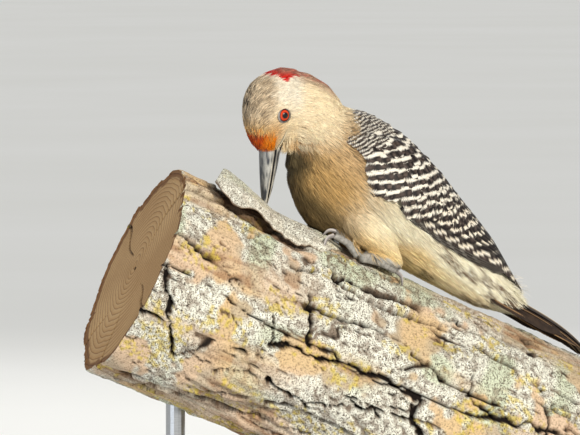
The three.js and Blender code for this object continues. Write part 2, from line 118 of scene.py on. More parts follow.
TO_BILL = np.array([-math.cos(HEAD_NOD), 0, -math.sin(HEAD_NOD)])
TO_CROWN = turn(np.array([-math.sin(HEAD_NOD), 0, math.cos(HEAD_NOD)]), TO_BILL, HEAD_TURN)
TO_LEFT = np.cross(TO_CROWN, TO_BILL)


def step(low, high, x):
    """Smooth step from 0 at low to 1 at high."""
    t = np.clip((x - low) / (high - low), 0, 1)
    return t * t * (3 - 2 * t)


def mix(a, b, t):
    """From a to b; t has the shape of the places that it colours."""
    t = np.asarray(t)[..., None]
    return a * (1 - t) + b * t


def head_coordinates(p):
    """Toward the bill, toward the crown and toward the bird's left, from the head's centre."""
    d = p - HEAD_CENTRE
    return d @ TO_BILL, d @ TO_CROWN, d @ TO_LEFT


def head_point(forward, crown, left):
    forward, crown, left = np.broadcast_arrays(forward, crown, left)
    place = HEAD_CENTRE + forward[..., None] * TO_BILL + crown[..., None] * TO_CROWN
    return place + left[..., None] * TO_LEFT


def body_coordinates(p):
    return p @ BODY_ALONG, p @ BODY_UP


def back_angle(p):
    """Along the body, and the angle from the back's middle line in degrees."""
    along, height = body_coordinates(p)
    above = height - np.interp(along, *SHELL_MIDDLE)
    return along, np.degrees(np.arctan2(np.abs(p[..., 1]), above))


def fan_angle(p):
    """Angle about the throat in the plane of the body's middle, in degrees above +X."""
    angle = np.degrees(np.arctan2(p[..., 2] - THROAT[2], p[..., 0] - THROAT[0]))
    return np.where(angle < -100, angle + 360, angle)


def reach(p):
    """Distance from the throat in the plane of the body's middle."""
    return np.hypot(p[..., 0] - THROAT[0], p[..., 2] - THROAT[2])


# ---------------------------------------------------------------- noise
def lattice(i, j, k, seed):
    h = (i * 374761393 + j * 668265263 + k * 2147483647 + seed * 974634777) & 0xFFFFFFFF
    h = ((h ^ (h >> 13)) * 1274126177) & 0xFFFFFFFF
    return ((h ^ (h >> 16)) & 0xFFFF) / 65535.0


def noise(p, size, seed=0):
    """Smooth value noise between -1 and 1; size is the width of its lumps."""
    q = np.asarray(p, float) / size
    base = np.floor(q).astype(np.int64)
    f = q - base
    f = f * f * (3 - 2 * f)
    total = 0
    for dx, dy, dz in np.ndindex(2, 2, 2):
        w = np.abs(1 - dx - f[..., 0]) * np.abs(1 - dy - f[..., 1]) * np.abs(1 - dz - f[..., 2])
        total = total + w * lattice(base[..., 0] + dx, base[..., 1] + dy, base[..., 2] + dz, seed)
    return total * 2 - 1


def flat(u, v):
    """Places on a plane, for the noise."""
    return np.stack([u, v, np.zeros_like(u)], -1)


# ---------------------------------------------------------------- meshes
def grid_quads(rows, columns, closed=False):
    """Quads over rows of vertices; a closed grid joins each row's last vertex to its first."""
    i, j = np.meshgrid(np.arange(rows - 1), np.arange(columns if closed else columns - 1), indexing="ij")
    a, b = i * columns + j, i * columns + (j + 1) % columns
    return np.stack([a, b, b + columns, a + columns], -1).reshape(-1, 4)


def round_turn(count):
    return np.linspace(0, FULL_TURN, count, endpoint=False)


def joined(parts):
    """One set of points and faces, and of anything else that goes with the points."""
    first = np.cumsum([0] + [len(part[0]) for part in parts])
    faces = np.concatenate([part[1] + base for part, base in zip(parts, first)])
    points, _, *others = zip(*parts)
    return (np.concatenate(points), faces, *(np.concatenate(other) for other in others))


def make_mesh(name, points, faces, colours=None, bake=None, materials=(), world=False):
    """A mesh object from bird-frame points and an array of triangles or quads."""
    mesh = bpy.data.meshes.new(name)
    co = points if world else (points + ORIGIN) / 1000
    mesh.vertices.add(len(co))
    mesh.vertices.foreach_set("co", np.ascontiguousarray(co, dtype=np.float32).ravel())
    sides = faces.shape[1]
    mesh.loops.add(faces.size)
    mesh.loops.foreach_set("vertex_index", np.ascontiguousarray(faces, dtype=np.int32).ravel())
    mesh.polygons.add(len(faces))
    mesh.polygons.foreach_set("loop_start", np.arange(0, faces.size, sides, dtype=np.int32))
    mesh.polygons.foreach_set("use_smooth", np.full(len(faces), True))
    mesh.update(calc_edges=True)
    if colours is not None:
        layer = mesh.color_attributes.new(name="Plumage", type="FLOAT_COLOR", domain="POINT")
        rgba = np.ones((len(co), 4), np.float32)
        rgba[:, :3] = colours
        layer.data.foreach_set("color", rgba.ravel())
    if bake is not None:
        uv = mesh.uv_layers.new(name="OFBake")
        uv.data.foreach_set("uv", np.ascontiguousarray(bake[faces.ravel()], dtype=np.float32).ravel())
    obj = bpy.data.objects.new(name, mesh)
    bpy.context.scene.collection.objects.link(obj)
    for material in materials:
        mesh.materials.append(material)
    return obj


def float_layer(obj, name, values):
    """Stores a number at every vertex for the materials to read."""
    layer = obj.data.attributes.new(name, "FLOAT", "POINT")
    layer.data.foreach_set("value", np.asarray(values, np.float32).ravel())


def mesh_arrays(obj):
    """Vertices in bird millimetres, and triangles, of an object whose matrix is the identity."""
    mesh = obj.data
    co = np.empty(len(mesh.vertices) * 3, np.float32)
    mesh.vertices.foreach_get("co", co)
    mesh.calc_loop_triangles()
    tri = np.empty(len(mesh.loop_triangles) * 3, np.int32)
    mesh.loop_triangles.foreach_get("vertices", tri)
    return co.reshape(-1, 3).astype(float) * 1000 - ORIGIN, tri.reshape(-1, 3)


def solids_tree(frame, names):
    """A search tree over some of the frame's solids."""
    points, tri = joined([mesh_arrays(frame["nodes"][name]) for name in names])
    return BVHTree.FromPolygons(points.tolist(), tri.tolist())


def vertex_normals(points, tri):
    face = np.cross(points[tri[:, 1]] - points[tri[:, 0]], points[tri[:, 2]] - points[tri[:, 0]])
    total = np.zeros_like(points)
    for k in range(3):
        np.add.at(total, tri[:, k], face)
    return unit(total)


def weld(points, tri):
    """Joins vertices at the same place."""
    keys = np.round(points * 1000).astype(np.int64)
    _, first, back = np.unique(keys, axis=0, return_index=True, return_inverse=True)
    back = back.ravel()
    tri = back[tri]
    good = (tri[:, 0] != tri[:, 1]) & (tri[:, 1] != tri[:, 2]) & (tri[:, 0] != tri[:, 2])
    return points[first], tri[good]


def smooth_points(points, tri, rounds, keep):
    """Smoothing without shrinking much, by keep's share: each round in, then a little out."""
    edges = np.concatenate([tri[:, [0, 1]], tri[:, [1, 2]], tri[:, [2, 0]]])
    edges = np.unique(np.sort(edges, axis=1), axis=0)
    count = np.bincount(edges.ravel(), minlength=len(points))[:, None]
    for _ in range(rounds):
        for factor in (0.55, -0.5):
            total = np.zeros_like(points)
            np.add.at(total, edges[:, 0], points[edges[:, 1]])
            np.add.at(total, edges[:, 1], points[edges[:, 0]])
            points = points + factor * keep[:, None] * (total / np.maximum(count, 1) - points)
    return points


class Surface:
    """A triangle mesh that can be asked for its nearest points."""

    def __init__(self, points, tri):
        self.points, self.tri = points, tri
        self.normals = vertex_normals(points, tri)
        self.tree = BVHTree.FromPolygons(points.tolist(), tri.tolist())

    def nearest(self, q):
        """Nearest places on the surface and smooth normals there."""
        found = [self.tree.find_nearest(v) for v in q.tolist()]
        place = np.array([f[0][:] for f in found])
        index = np.array([f[2] for f in found])
        corner = self.points[self.tri[index]]
        a, b, c = corner[:, 0], corner[:, 1], corner[:, 2]
        area = np.maximum(np.linalg.norm(np.cross(b - a, c - a), axis=1), 1e-9)
        wa = np.linalg.norm(np.cross(b - place, c - place), axis=1) / area
        wb = np.linalg.norm(np.cross(c - place, a - place), axis=1) / area
        w = np.stack([wa, wb, np.maximum(1 - wa - wb, 0)], 1)
        normal = (self.normals[self.tri[index]] * w[:, :, None]).sum(1)
        return place, unit(normal)

    def scatter(self, density, number):
        """Random places, spread by area times density at the triangles' middles."""
        a, b, c = (self.points[self.tri[:, k]] for k in range(3))
        area = np.linalg.norm(np.cross(b - a, c - a), axis=1) * density((a + b + c) / 3)
        total = np.cumsum(area)
        index = np.searchsorted(total, RNG.random(number) * total[-1])
        r1, r2 = np.sqrt(RNG.random(number)), RNG.random(number)
        w = np.stack([1 - r1, r1 * (1 - r2), r1 * r2], 1)
        place = (self.points[self.tri[index]] * w[:, :, None]).sum(1)
        normal = unit((self.normals[self.tri[index]] * w[:, :, None]).sum(1))
        return place, normal


# ---------------------------------------------------------------- skin
def build_skin(frame):
    """One closed surface round all the flesh, at the coat's outside."""
    solids = []
    for name in FLESH:
        points, tri = weld(*mesh_arrays(frame["nodes"][name]))
        solids.append((points + FLESH_SWELL * vertex_normals(points, tri), tri))
    raw = make_mesh("flesh_raw", *joined(solids))
    remesh = raw.modifiers.new("skin", "REMESH")
    remesh.mode = "VOXEL"
    remesh.voxel_size = SKIN_VOXEL / 1000
    graph = bpy.context.evaluated_depsgraph_get()
    mesh = bpy.data.meshes.new_from_object(raw.evaluated_get(graph))
    made = bpy.data.objects.new("made", mesh)
    points, tri = mesh_arrays(made)
    bpy.data.objects.remove(made)
    bpy.data.objects.remove(raw)
    return smooth_points(points, tri, 14, keep=1 - 0.75 * foot_share(points)), tri


def sink_skin(outer):
    """The skin itself: inside the outer surface by the coat's depth, with scutes on the toes."""
    points, tri = outer.points, outer.tri
    feet = foot_share(points)
    inner = points - outer.normals * coat_depth(points)[:, None]
    inner = smooth_points(inner, tri, 4, keep=1 - feet)
    inner = inner - outer.normals * (SCUTE_DEPTH * scute_groove(points) * feet)[:, None]
    return Surface(smooth_points(inner, tri, 60, keep=under_throat(inner)), tri)


BARE = [n for n in FLESH if n.startswith(("toe", "tarsus"))]
FEET_BOX = (np.array([-2.0, -40, -40]), np.array([60.0, 40, 0]))
FEET_SEARCH = 4.0


class Feet:
    """The bare legs and toes, as a surface to measure distances from."""

    tree = None


def foot_share(p):
    """1 on the bare legs and toes, 0 on feathered places."""
    share = np.zeros(p.shape[:-1])
    near = ((p > FEET_BOX[0]) & (p < FEET_BOX[1])).all(-1) & (np.abs(p[..., 1]) > 8)
    if near.any():
        far = [Feet.tree.find_nearest(v, FEET_SEARCH)[3] for v in p[near].tolist()]
        share[near] = step(1.3, 0.6, np.array([FEET_SEARCH if d is None else d for d in far]))
    return share


def under_throat(p):
    """1 in the hollow beneath the throat, which the bent neck shades."""
    along, height = body_coordinates(p)
    low = step(-12, -17, along) * step(29, 24, height)
    return low * step(-7, -3, p[..., 0]) * step(35, 31, p[..., 2])


def coat_depth(p):
    """How deep the feathers are: thin on the face and the tail's root, none on bare legs."""
    on_head = step(70, 95, fan_angle(p))
    depth = BODY_COAT * (1 - on_head) + HEAD_COAT * on_head
    depth = depth * (1 - 0.6 * step(8, 16, head_coordinates(p)[0]) * on_head)
    thin = step(95, 112, p @ BODY_ALONG)
    depth = depth * (1 - 0.6 * thin) + THROAT_COAT * under_throat(p)
    return depth * (1 - foot_share(p))


def lie(p, n):
    """Which way the feathers lie, from bill to tail, along the surface."""
    fan = np.radians(np.clip(fan_angle(p), 47, 175))
    return along_surface(np.stack([np.sin(fan), np.zeros_like(fan), -np.cos(fan)], -1), n)


def along_surface(d, n):
    """A direction made to lie in the surface with normals n."""
    return unit(d - (d * n).sum(-1, keepdims=True) * n)


# ---------------------------------------------------------------- materials
def srgb(r, g, b):
    """Linear colour from 0-255 display values."""
    c = np.array([r, g, b]) / 255
    return np.where(c <= 0.04045, c / 12.92, ((c + 0.055) / 1.055) ** 2.4)


class Nodes:
    """Short hand for building a material's nodes."""

    def __init__(self, name):
        self.material = bpy.data.materials.new(name)
        self.material.use_nodes = True
        self.tree = self.material.node_tree
        self.tree.nodes.clear()
        self.out = self.tree.nodes.new("ShaderNodeOutputMaterial")
        self.shader = self.tree.nodes.new("ShaderNodeBsdfPrincipled")
        self.link(self.shader.outputs[0], self.out.inputs["Surface"])

    def link(self, a, b):
        self.tree.links.new(a, b)

    def put(self, kind, inputs=None, **settings):
        node = self.tree.nodes.new(kind)
        for key, value in settings.items():
            setattr(node, key, value)
        for key, value in (inputs or {}).items():
            socket = node.inputs[key]
            if isinstance(value, bpy.types.NodeSocket):
                self.link(value, socket)
            else:
                socket.default_value = value
        return node

    def place(self):
        return self.put("ShaderNodeNewGeometry").outputs["Position"]

    def colours(self):
        """The colours painted on the mesh."""
        return self.put("ShaderNodeAttribute", attribute_name="Plumage").outputs["Color"]

    def number(self, name):
        """A number stored on the mesh."""
        return self.put("ShaderNodeAttribute", attribute_name=name).outputs["Fac"]

    def noise(self, scale, detail=3.0, roughness=0.55, vector=None):
        node = self.put("ShaderNodeTexNoise", {"Scale": scale, "Detail": detail, "Roughness": roughness})
        self.link(vector or self.place(), node.inputs["Vector"])
        return node.outputs["Fac"]

    def drawn_out(self, scale):
        """The place, with noise over it drawn out where the scale is small."""
        return self.put("ShaderNodeMapping", {"Vector": self.place(), "Scale": scale}).outputs[0]

    def math(self, operation, a, b=0.0):
        return self.put("ShaderNodeMath", {0: a, 1: b}, operation=operation).outputs[0]

    def times(self, a, b):
        return self.math("MULTIPLY", a, b)

    def plus(self, a, b):
        return self.math("ADD", a, b)

    def ramp(self, factor, stops):
        """A colour ramp through linear colours."""
        node = self.put("ShaderNodeValToRGB", {"Fac": factor})
        ramp = node.color_ramp
        while len(ramp.elements) < len(stops):
            ramp.elements.new(0.5)
        for element, (position, colour) in zip(ramp.elements, stops):
            element.position = position
            element.color = (*colour, 1)
        return node.outputs["Color"]

    def painted(self, factor, stops):
        """A colour ramp through display colours."""
        return self.ramp(factor, [(position, tuple(srgb(*colour))) for position, colour in stops])

    def shades(self, factor, low, dark, high, light):
        """A ramp between two shades of grey."""
        return self.ramp(factor, [(low, (dark,) * 3), (high, (light,) * 3)])

    def mix(self, factor, a, b, blend="MIX"):
        node = self.tree.nodes.new("ShaderNodeMix")
        node.data_type = "RGBA"
        node.blend_type = blend
        for index, value in ((0, factor), (6, a), (7, b)):
            if isinstance(value, bpy.types.NodeSocket):
                self.link(value, node.inputs[index])
            else:
                node.inputs[index].default_value = value
        return node.outputs[2]

    def tinted(self, a, b):
        return self.mix(1.0, a, b, "MULTIPLY")

    def bump(self, height, strength, distance):
        node = self.put("ShaderNodeBump", {"Height": height, "Strength": strength, "Distance": distance})
        self.link(node.outputs[0], self.shader.inputs["Normal"])

    def set(self, **constants):
        """Sets constants on the shader's sockets, named with underlines for spaces."""
        for key, value in constants.items():
            self.shader.inputs[key.replace("_", " ")].default_value = value

    def finish(self, colour, roughness=0.6):
        """Links the colour, and sets or links the roughness."""
        self.link(colour, self.shader.inputs["Base Color"])
        if isinstance(roughness, bpy.types.NodeSocket):
            self.link(roughness, self.shader.inputs["Roughness"])
        else:
            self.set(Roughness=roughness)
        return self.material


def plumage_material(name, roughness, grain, bump_strength):
    """Takes the markings from the mesh and breaks them up with fine barb-like grain."""
    m = Nodes(name)
    base = m.colours()
    fine = m.noise(grain, 4.0, 0.6)
    broad = m.noise(grain / 9, 2.0)
    tone = m.ramp(fine, [(0.25, (0.8, 0.78, 0.76)), (0.75, (1.08, 1.08, 1.08))])
    warm = m.ramp(broad, [(0.3, (0.97, 0.95, 0.92)), (0.7, (1.03, 1.03, 1.03))])
    colour = m.tinted(m.tinted(base, tone), warm)
    m.bump(fine, bump_strength, 0.0002)
    m.set(Sheen_Weight=0.03, Sheen_Roughness=0.5, Specular_IOR_Level=0.15)
    return m.finish(colour, roughness)


# ---------------------------------------------------------------- markings
BUFF = srgb(206, 174, 128)
CREAM = srgb(246, 240, 214)
TAN = srgb(194, 156, 92)
GOLD = srgb(242, 206, 134)
# painted shade for the breast's front, where the head's shadow falls
BREAST_PAINTED_SHADE = srgb(82, 72, 48)
THROAT_SHADE = srgb(92, 80, 54)
NECK_CREAM = srgb(242, 226, 192)
CHEEK = srgb(236, 216, 178)
CHEEK_REAR = srgb(234, 226, 208)
LORES = srgb(200, 150, 88)
CROWN_GREY = srgb(184, 162, 132)
CROWN_PALE = srgb(236, 216, 184)
FOREHEAD = srgb(226, 186, 126)
NAPE = srgb(172, 134, 112)
NAPE_PINK = srgb(206, 96, 80)
OCHRE = srgb(178, 128, 70)
DARK = srgb(40, 34, 32)
RED = srgb(216, 4, 2)
FLECK = srgb(84, 70, 58)
MARK = srgb(92, 60, 36)
SCALE_GREY = srgb(158, 156, 150)
SCALE_PALE = srgb(206, 202, 192)
SCALE_GROOVE = srgb(104, 98, 92)

RED_EDGE = ([0, 40, 60, 80, 130, 180], [-16, -15.4, -13.6, -16.2, -18.6, -18.8])


def red_patch(p):
    """1 on the red behind the crown, whose lower edge comes to a point on each side."""
    forward, crown, left = head_coordinates(p)
    round_back = np.degrees(np.arctan2(np.abs(left), crown + 4))
    edge = np.interp(round_back, *RED_EDGE) + 1.1 * noise(p * np.array([1, 1, 0.4]), 1.3, 21)
    return step(0.5, -0.5, forward - edge)


def trunk_colours(p):
    """Buff breast, golden belly, creamy flank beneath the wing, pale vent, and olive-grey painted shade on
    the front.
    """
    along, round_side = back_angle(p)
    height = p @ BODY_UP
    side = np.abs(p[..., 1])
    flank = step(8, 20, height) * step(2, 30, along)
    belly = step(112, 134, round_side + 8 * noise(p, 14, 33))
    colour = mix(BUFF, TAN, 0.75 * (1 - step(0, 32, along)) * (1 - step(22, 38, height)))
    colour = mix(colour, CREAM, 0.85 * flank)
    colour = mix(colour, CREAM, 0.9 * step(52, 74, along))
    gold = (0.7 - 0.35 * step(50, 80, along)) * belly * step(14, 32, along) * step(112, 84, along)
    colour = mix(colour, GOLD, gold)
    midline = (1 - step(4, 18, side)) * (1 - step(10, 24, height)) * (1 - step(20, 44, along))
    throat = (1 - step(6, 16, side)) * (1 - step(24, 34, height)) * (1 - step(-14, -4, along))
    front = (1 - step(11, 18, height)) * (1 - step(6, 26, along))
    # Painted shade: olive-grey on the breast's front, along its middle line and under the throat, where the
    # head's shadow falls.
    shade = np.maximum(np.maximum(0.65 * midline, 0.8 * throat), 0.75 * front)
    return mix(colour, BREAST_PAINTED_SHADE, shade)


def head_colours(p, colour):
    """Cream cheek, buff face, grey crown, and red behind the crown, over the neck's colours."""
    forward, crown, left = head_coordinates(p)
    head = step(78, 90, fan_angle(p))
    face = mix(CHEEK, CHEEK_REAR, step(6, -8, forward) * 0.9)
    face = mix(face, LORES, 0.85 * step(2, 10, forward) * step(-3, 5, crown))
    colour = mix(colour, face, head)
    rise = crown + 2.0 * noise(p, 2.2, 3) - 0.10 * np.maximum(forward - 3, 0)
    top = step(3.6, 9.4, rise) * step(-17.5, -14.5, forward)
    grey = mix(CROWN_GREY, CROWN_PALE, 0.5 + 0.5 * noise(p, 2.6, 5))
    grey = mix(grey, FOREHEAD, 0.8 * step(2, 11, forward))
    colour = mix(colour, grey, head * top)
    return mix(colour, RED, head * red_patch(p))


def nape_colours(p, colour):
    """A duller band down the nape, with pink in it."""
    fan = fan_angle(p)
    ends = step(52, 64, fan) * (1 - step(96, 106, fan))
    nape = ends * (1 - step(5, 11, np.abs(p[..., 1]))) * step(20, 28, reach(p))
    colour = mix(colour, NAPE, 0.8 * nape)
    return mix(colour, NAPE_PINK, 0.5 * nape * step(0.0, 0.5, noise(p, 2.4, 15)))


def plumage(p):
    """The coat's colours at bird-frame points, in linear light, and the bare feet's."""
    colour = mix(trunk_colours(p), NECK_CREAM, 0.82 * step(8, 44, fan_angle(p)))
    colour = nape_colours(p, head_colours(p, colour))
    colour = mix(colour, THROAT_SHADE, 0.85 * under_throat(p))
    colour = mix(colour, OCHRE, 0.75 * malar_streaks(p))
    colour = mix(colour, MARK, 0.9 * chevrons(p))
    scale = mix(SCALE_GREY, SCALE_PALE, 0.5 + 0.5 * noise(p, 1.1, 17))
    scale = mix(scale, SCALE_GROOVE, 0.5 * scute_groove(p))
    return mix(colour, scale, foot_share(p))


def scute_groove(p):
    """1 in the grooves between the scutes across the toes and shanks."""
    count = (p @ LIMB_ALONG) / 1.6 + 0.55 * noise(p, 2.2, 71)
    return step(0.72, 0.95, np.abs(count % 1 - 0.5) * 2)


def malar_streaks(p):
    """Ochre streaks that fan out behind the gape."""
    forward, crown, left = head_coordinates(p)
    df, dc = forward - 15, crown + 1.5
    angle = np.arctan2(-dc, -df)
    away = np.hypot(df, dc)
    streak = step(0.15, 0.5, noise(flat(angle * 9, away / 6), 1.0, 24))
    streak = streak * step(1.5, 3.5, away) * step(13, 8, away)
    return streak * step(0.3, 0.6, angle) * step(2.2, 1.8, angle)


MARK_ROW, MARK_COLUMN = 7.5, 6.5  # spacing of the marks along the body and down its side


def chevrons(p):
    """Brown V marks on the vent and the coverts under the tail."""
    along, angle = back_angle(p)
    row = along / MARK_ROW
    k = np.floor(row)
    down = (p @ BODY_UP + 1.8 * np.sin(k * 2.4)) / MARK_COLUMN
    j = np.floor(down)
    lottery = np.sin(k * 12.9898 + j * 78.233) * 43758.5453
    kept = (lottery - np.floor(lottery)) > 0.58
    x, y = (row - k - 0.5) * MARK_ROW, (down - j - 0.5) * MARK_COLUMN
    vee = step(1.5, 0.8, np.abs(x - 1.2 + 0.9 * np.abs(y) + 0.5 * noise(p, 1.5, 27)))
    vee = vee * step(2.6, 1.8, np.abs(y)) * kept
    return vee * step(52, 60, along) * step(66, 76, angle) * step(176, 168, angle)


# ---------------------------------------------------------------- strands
NECK_FAN = 47.0  # where the trunk's unwrap goes over into the neck's
PATCH = 0.003  # a tuft's patch on the unwrap
BLADE_SEGMENTS = 3


def bake_place(p):
    """A point's place on an unwrap of the bird: along the body, and the angle round it."""
    along, height = body_coordinates(p)
    fan = fan_angle(p)
    trunk = fan < NECK_FAN
    length = np.where(trunk, along, -20 - (fan - NECK_FAN) * 0.6)
    middle = np.where(trunk, 32.0, 16.0)
    radial = np.where(trunk, height, reach(p))
    angle = np.arctan2(p[..., 1], radial - middle)
    return np.stack([0.02 + 0.96 * (length + 110) / 275, 0.5 + 0.46 * angle / math.pi], -1)


def blades(middle, sides, half, colour, shade, root):
    """Joined thin blades round their middle lines: points, faces, colours and OFBake places; painted shade
    darkens each blade toward its root.
    """
    n = len(middle)
    a = middle - sides * half[..., None]
    b = middle + sides * half[..., None]
    ring = np.concatenate([np.stack([a[:, :-1], b[:, :-1]], 2).reshape(n, -1, 3), middle[:, -1:]], 1)
    per = ring.shape[1]
    local = []
    for k in range(0, per - 3, 2):
        local += [[k, k + 1, k + 3], [k, k + 3, k + 2]]
    local.append([per - 3, per - 2, per - 1])
    faces = (np.arange(n)[:, None, None] * per + np.array(local)[None]).reshape(-1, 3)
    t = np.repeat(np.linspace(0, 1, BLADE_SEGMENTS + 1), 2)[:-1]
    # Painted shade and light: each blade darker at its root, where others cover it, and a little lighter at
    # its tip.
    low, rise = shade
    tint = np.clip(colour[:, None] * (low + rise * t)[None, :, None], 0, 1).reshape(-1, 3)
    corner = np.stack([np.tile([0.0, 1.0], BLADE_SEGMENTS + 1)[:per], t], -1) * PATCH
    bake = (bake_place(root)[:, None] + corner[None]).reshape(-1, 2)
    return ring.reshape(-1, 3), faces, tint, bake


def follow(surface, place, normal, heading, length, lift, roll):
    """Middle lines over the surface from their roots, and the directions across them."""
    points = np.empty((len(place), BLADE_SEGMENTS + 1, 3))
    sides = np.empty_like(points)
    tilt = roll[:, None]
    for k in range(BLADE_SEGMENTS + 1):
        rise = 0.05 + lift * (k / BLADE_SEGMENTS) ** 1.5
        points[:, k] = place + normal * rise[:, None]
        sides[:, k] = np.cross(normal, heading) * np.cos(tilt) + normal * np.sin(tilt)
        if k < BLADE_SEGMENTS:
            place, normal = surface.nearest(place + heading * (length / BLADE_SEGMENTS)[:, None])
            heading = along_surface(heading, normal)
            heading = unit(0.7 * heading + 0.3 * lie(place, normal))
    return points, sides


def bristles(place, normal, heading, length, width, lift, colour):
    """Free thin blades that start on the surface and run straight on, as joined arrays."""
    t = np.linspace(0, 1, BLADE_SEGMENTS + 1)
    rise = 0.1 + lift[:, None] * np.sin(t[None] * 2.2)
    points = place[:, None] + heading[:, None] * (length[:, None] * t[None])[..., None]
    points = points + normal[:, None] * rise[..., None]
    tilt = RNG.normal(0, 0.5, len(place))[:, None]
    across = np.cross(normal, heading) * np.cos(tilt) + normal * np.sin(tilt)
    half = 0.5 * width[:, None] * np.array([1.0, 1.0, 0.7, 0.0])[None]
    return blades(points, across[:, None], half, colour, (0.8, 0.3), place)


def eye_distance(p, side):
    """Distance from the eye's middle, across its axis."""
    centre, axis, fore, cross = eye_axes(side)
    d = p - centre
    return np.where(d @ axis > -2, np.hypot(d @ fore, d @ cross), 99)


def under_wing(p):
    """1 where the wings and mantle cover the trunk."""
    along, angle = back_angle(p)
    inside = step(9, 5, angle - np.interp(along, *WING_RIM) + 10)
    return inside * step(-21, -18, along) * (1 - step(90, 97, along))


def coat_density(p):
    """Where strands grow: not on bare legs, under the wings or over the eyes."""
    bare_eye = np.minimum(eye_distance(p, 1), eye_distance(p, -1))
    clear = step(2.9, 3.3, bare_eye) * step(0.6, 1.3, gape_distance(p))
    return (1 - step(0.02, 0.3, foot_share(p))) * clear * (1 - under_wing(p))


def wing_edge(p):
    """1 along the wing's front and lower edge, where the flank's feathers lie over it."""
    along, angle = back_angle(p)
    off = angle - np.interp(along, *WING_RIM)
    return step(-5, 0, off) * step(16, 9, off) * step(-13, -9, along) * (1 - step(34, 46, along))


def before_wing(p):
    """1 just in front of the wings, where the neck's feathers lie over them."""
    along, angle = back_angle(p)
    off = angle - np.interp(along + 6, *WING_RIM)
    return step(-23, -15, along) * step(2, -4, along) * step(6, 0, off) * step(24, 34, angle)


def loose(p):
    """1 where feathers stand off the body: half of it before the wings, all on the rump."""
    along, height = body_coordinates(p)
    rump = step(89, 95, along) * step(112, 104, along) * step(36, 42, height)
    return np.maximum(0.5 * before_wing(p), rump)


def on_head(p):
    return step(80, 84, fan_angle(p))


def on_neck(p):
    return step(40, 46, fan_angle(p)) * step(86, 80, fan_angle(p))


def on_breast(p):
    return step(47, 42, fan_angle(p)) * step(32, 26, p @ BODY_ALONG)


def on_belly(p):
    return step(47, 42, fan_angle(p)) * step(25, 31, p @ BODY_ALONG)


STRANDS_IN_TUFT = 6
STRAND_REGIONS = [  # name, where it is, tufts, length, width and how far the tips stand out
    ("head_strands", on_head, 6400, 2.9, 0.21, 0.32),
    ("neck_strands", on_neck, 4200, 6.2, 0.34, 0.6),
    ("breast_strands", on_breast, 5600, 9.0, 0.42, 0.9),
    ("flank_strands", wing_edge, 1500, 8.0, 0.40, 2.6),
    ("belly_strands", on_belly, 5600, 8.5, 0.40, 1.0),
]
RUFFLED = 2.8  # how far the tips stand out where feathers are loose


def crown_flecks(root, tuft, colour):
    """Short dark streaks on the crown, with black ones just past its middle line on the far side as painted
    shade along the edge of that side's shadow.
    """
    forward, crown, left = head_coordinates(root)
    on_top = step(6.5, 9.5, crown) * step(-15, -12, forward) * (1 - step(9, 14, forward))
    on_top = on_top * step(80, 90, fan_angle(root))
    chance = RNG.random(tuft.max() + 1)[tuft]
    # Painted shade: black flecks along the shadow's edge, just past the crown's middle line.
    beside = (1 - step(1.5, 3.5, np.abs(left + 1.5))) * step(-12, -7, forward)
    beside = beside * (1 - step(2, 6, forward))
    colour = mix(colour, FLECK, 0.6 * (on_top * (chance < 0.28)))
    return mix(colour, DARK, 0.85 * (on_top * (chance < 0.4) * beside))


def tuft_strands(surface, place, normal, heading, pick, long):
    """Roots, normals and headings of the strands, fanned out a little over each tuft."""
    across = np.cross(normal, heading)
    total = len(pick)
    offset = RNG.uniform(-1, 1, total) * long * 0.13
    yaw = -offset / long * 0.8 + RNG.normal(0, 0.08, total)
    root = place[pick] + across[pick] * offset[:, None]
    root = root + heading[pick] * (RNG.uniform(-0.12, 0.12, total) * long)[:, None]
    root, n = surface.nearest(root)
    return root, n, along_surface(heading[pick] + across[pick] * yaw[:, None], n)


def strand_colours(root, heading, pick, tuft_tone, long):
    """The coat's colours, with tufts and strands lighter or darker, and one strand in five darkened as
    painted shade in the gaps between tufts.
    """
    colour = plumage(root + heading * long * 0.3)
    # Painted shade: the darkened strands stand for the shade between the tufts.
    gap_shade_tone = 0.46 + 0.4 * step(0.45, 0.75, colour.mean(1))
    total = len(pick)
    tone = tuft_tone[pick] * np.where(RNG.random(total) < 0.20, gap_shade_tone, 1.06)
    tone = tone * RNG.uniform(0.88, 1.12, total)
    return crown_flecks(root, pick, colour * tone[:, None])


def strand_coat(surface, material, name, where, number, long, wide, stand):
    """Tufts of thin strands over one part of the body."""
    number = number
    place, normal = surface.scatter(lambda p: where(p) * coat_density(p), number)
    heading = lie(place, normal)
    face = step(80, 90, fan_angle(place)) * step(0, 10, head_coordinates(place)[0])
    tuft_tone = 1 + 0.12 * RNG.standard_normal(number).clip(-2, 2)
    pick = np.repeat(np.arange(number), STRANDS_IN_TUFT)
    total = len(pick)
    root, n, d = tuft_strands(surface, place, normal, heading, pick, long)
    colour = strand_colours(root, d, pick, tuft_tone, long)
    width = wide * (1 - 0.25 * face[pick]) * RNG.uniform(0.7, 1.3, total)
    lift = stand * RNG.uniform(0.3, 1.2, total) + RUFFLED * loose(root) * RNG.uniform(0.3, 1.1, total)
    roll = RNG.normal(0, 0.3, total)
    length = long * (1 - 0.3 * face[pick]) * (1 - 0.5 * before_wing(root))
    length = length * RNG.uniform(0.75, 1.2, total)
    points, sides = follow(surface, root, n, d, length, lift, roll)
    profile = np.linspace(1, 0, BLADE_SEGMENTS + 1) ** 0.55
    profile[0] = 0.7
    half = 0.5 * width[:, None] * profile[None, :]
    points, faces, tint, bake = blades(points, sides, half, colour, (0.82, 0.24), place[pick])
    tint = mix(tint, MARK, 0.8 * chevrons(points))
    obj = make_mesh(name, points, faces, tint, bake, [material])
    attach(obj, "root")


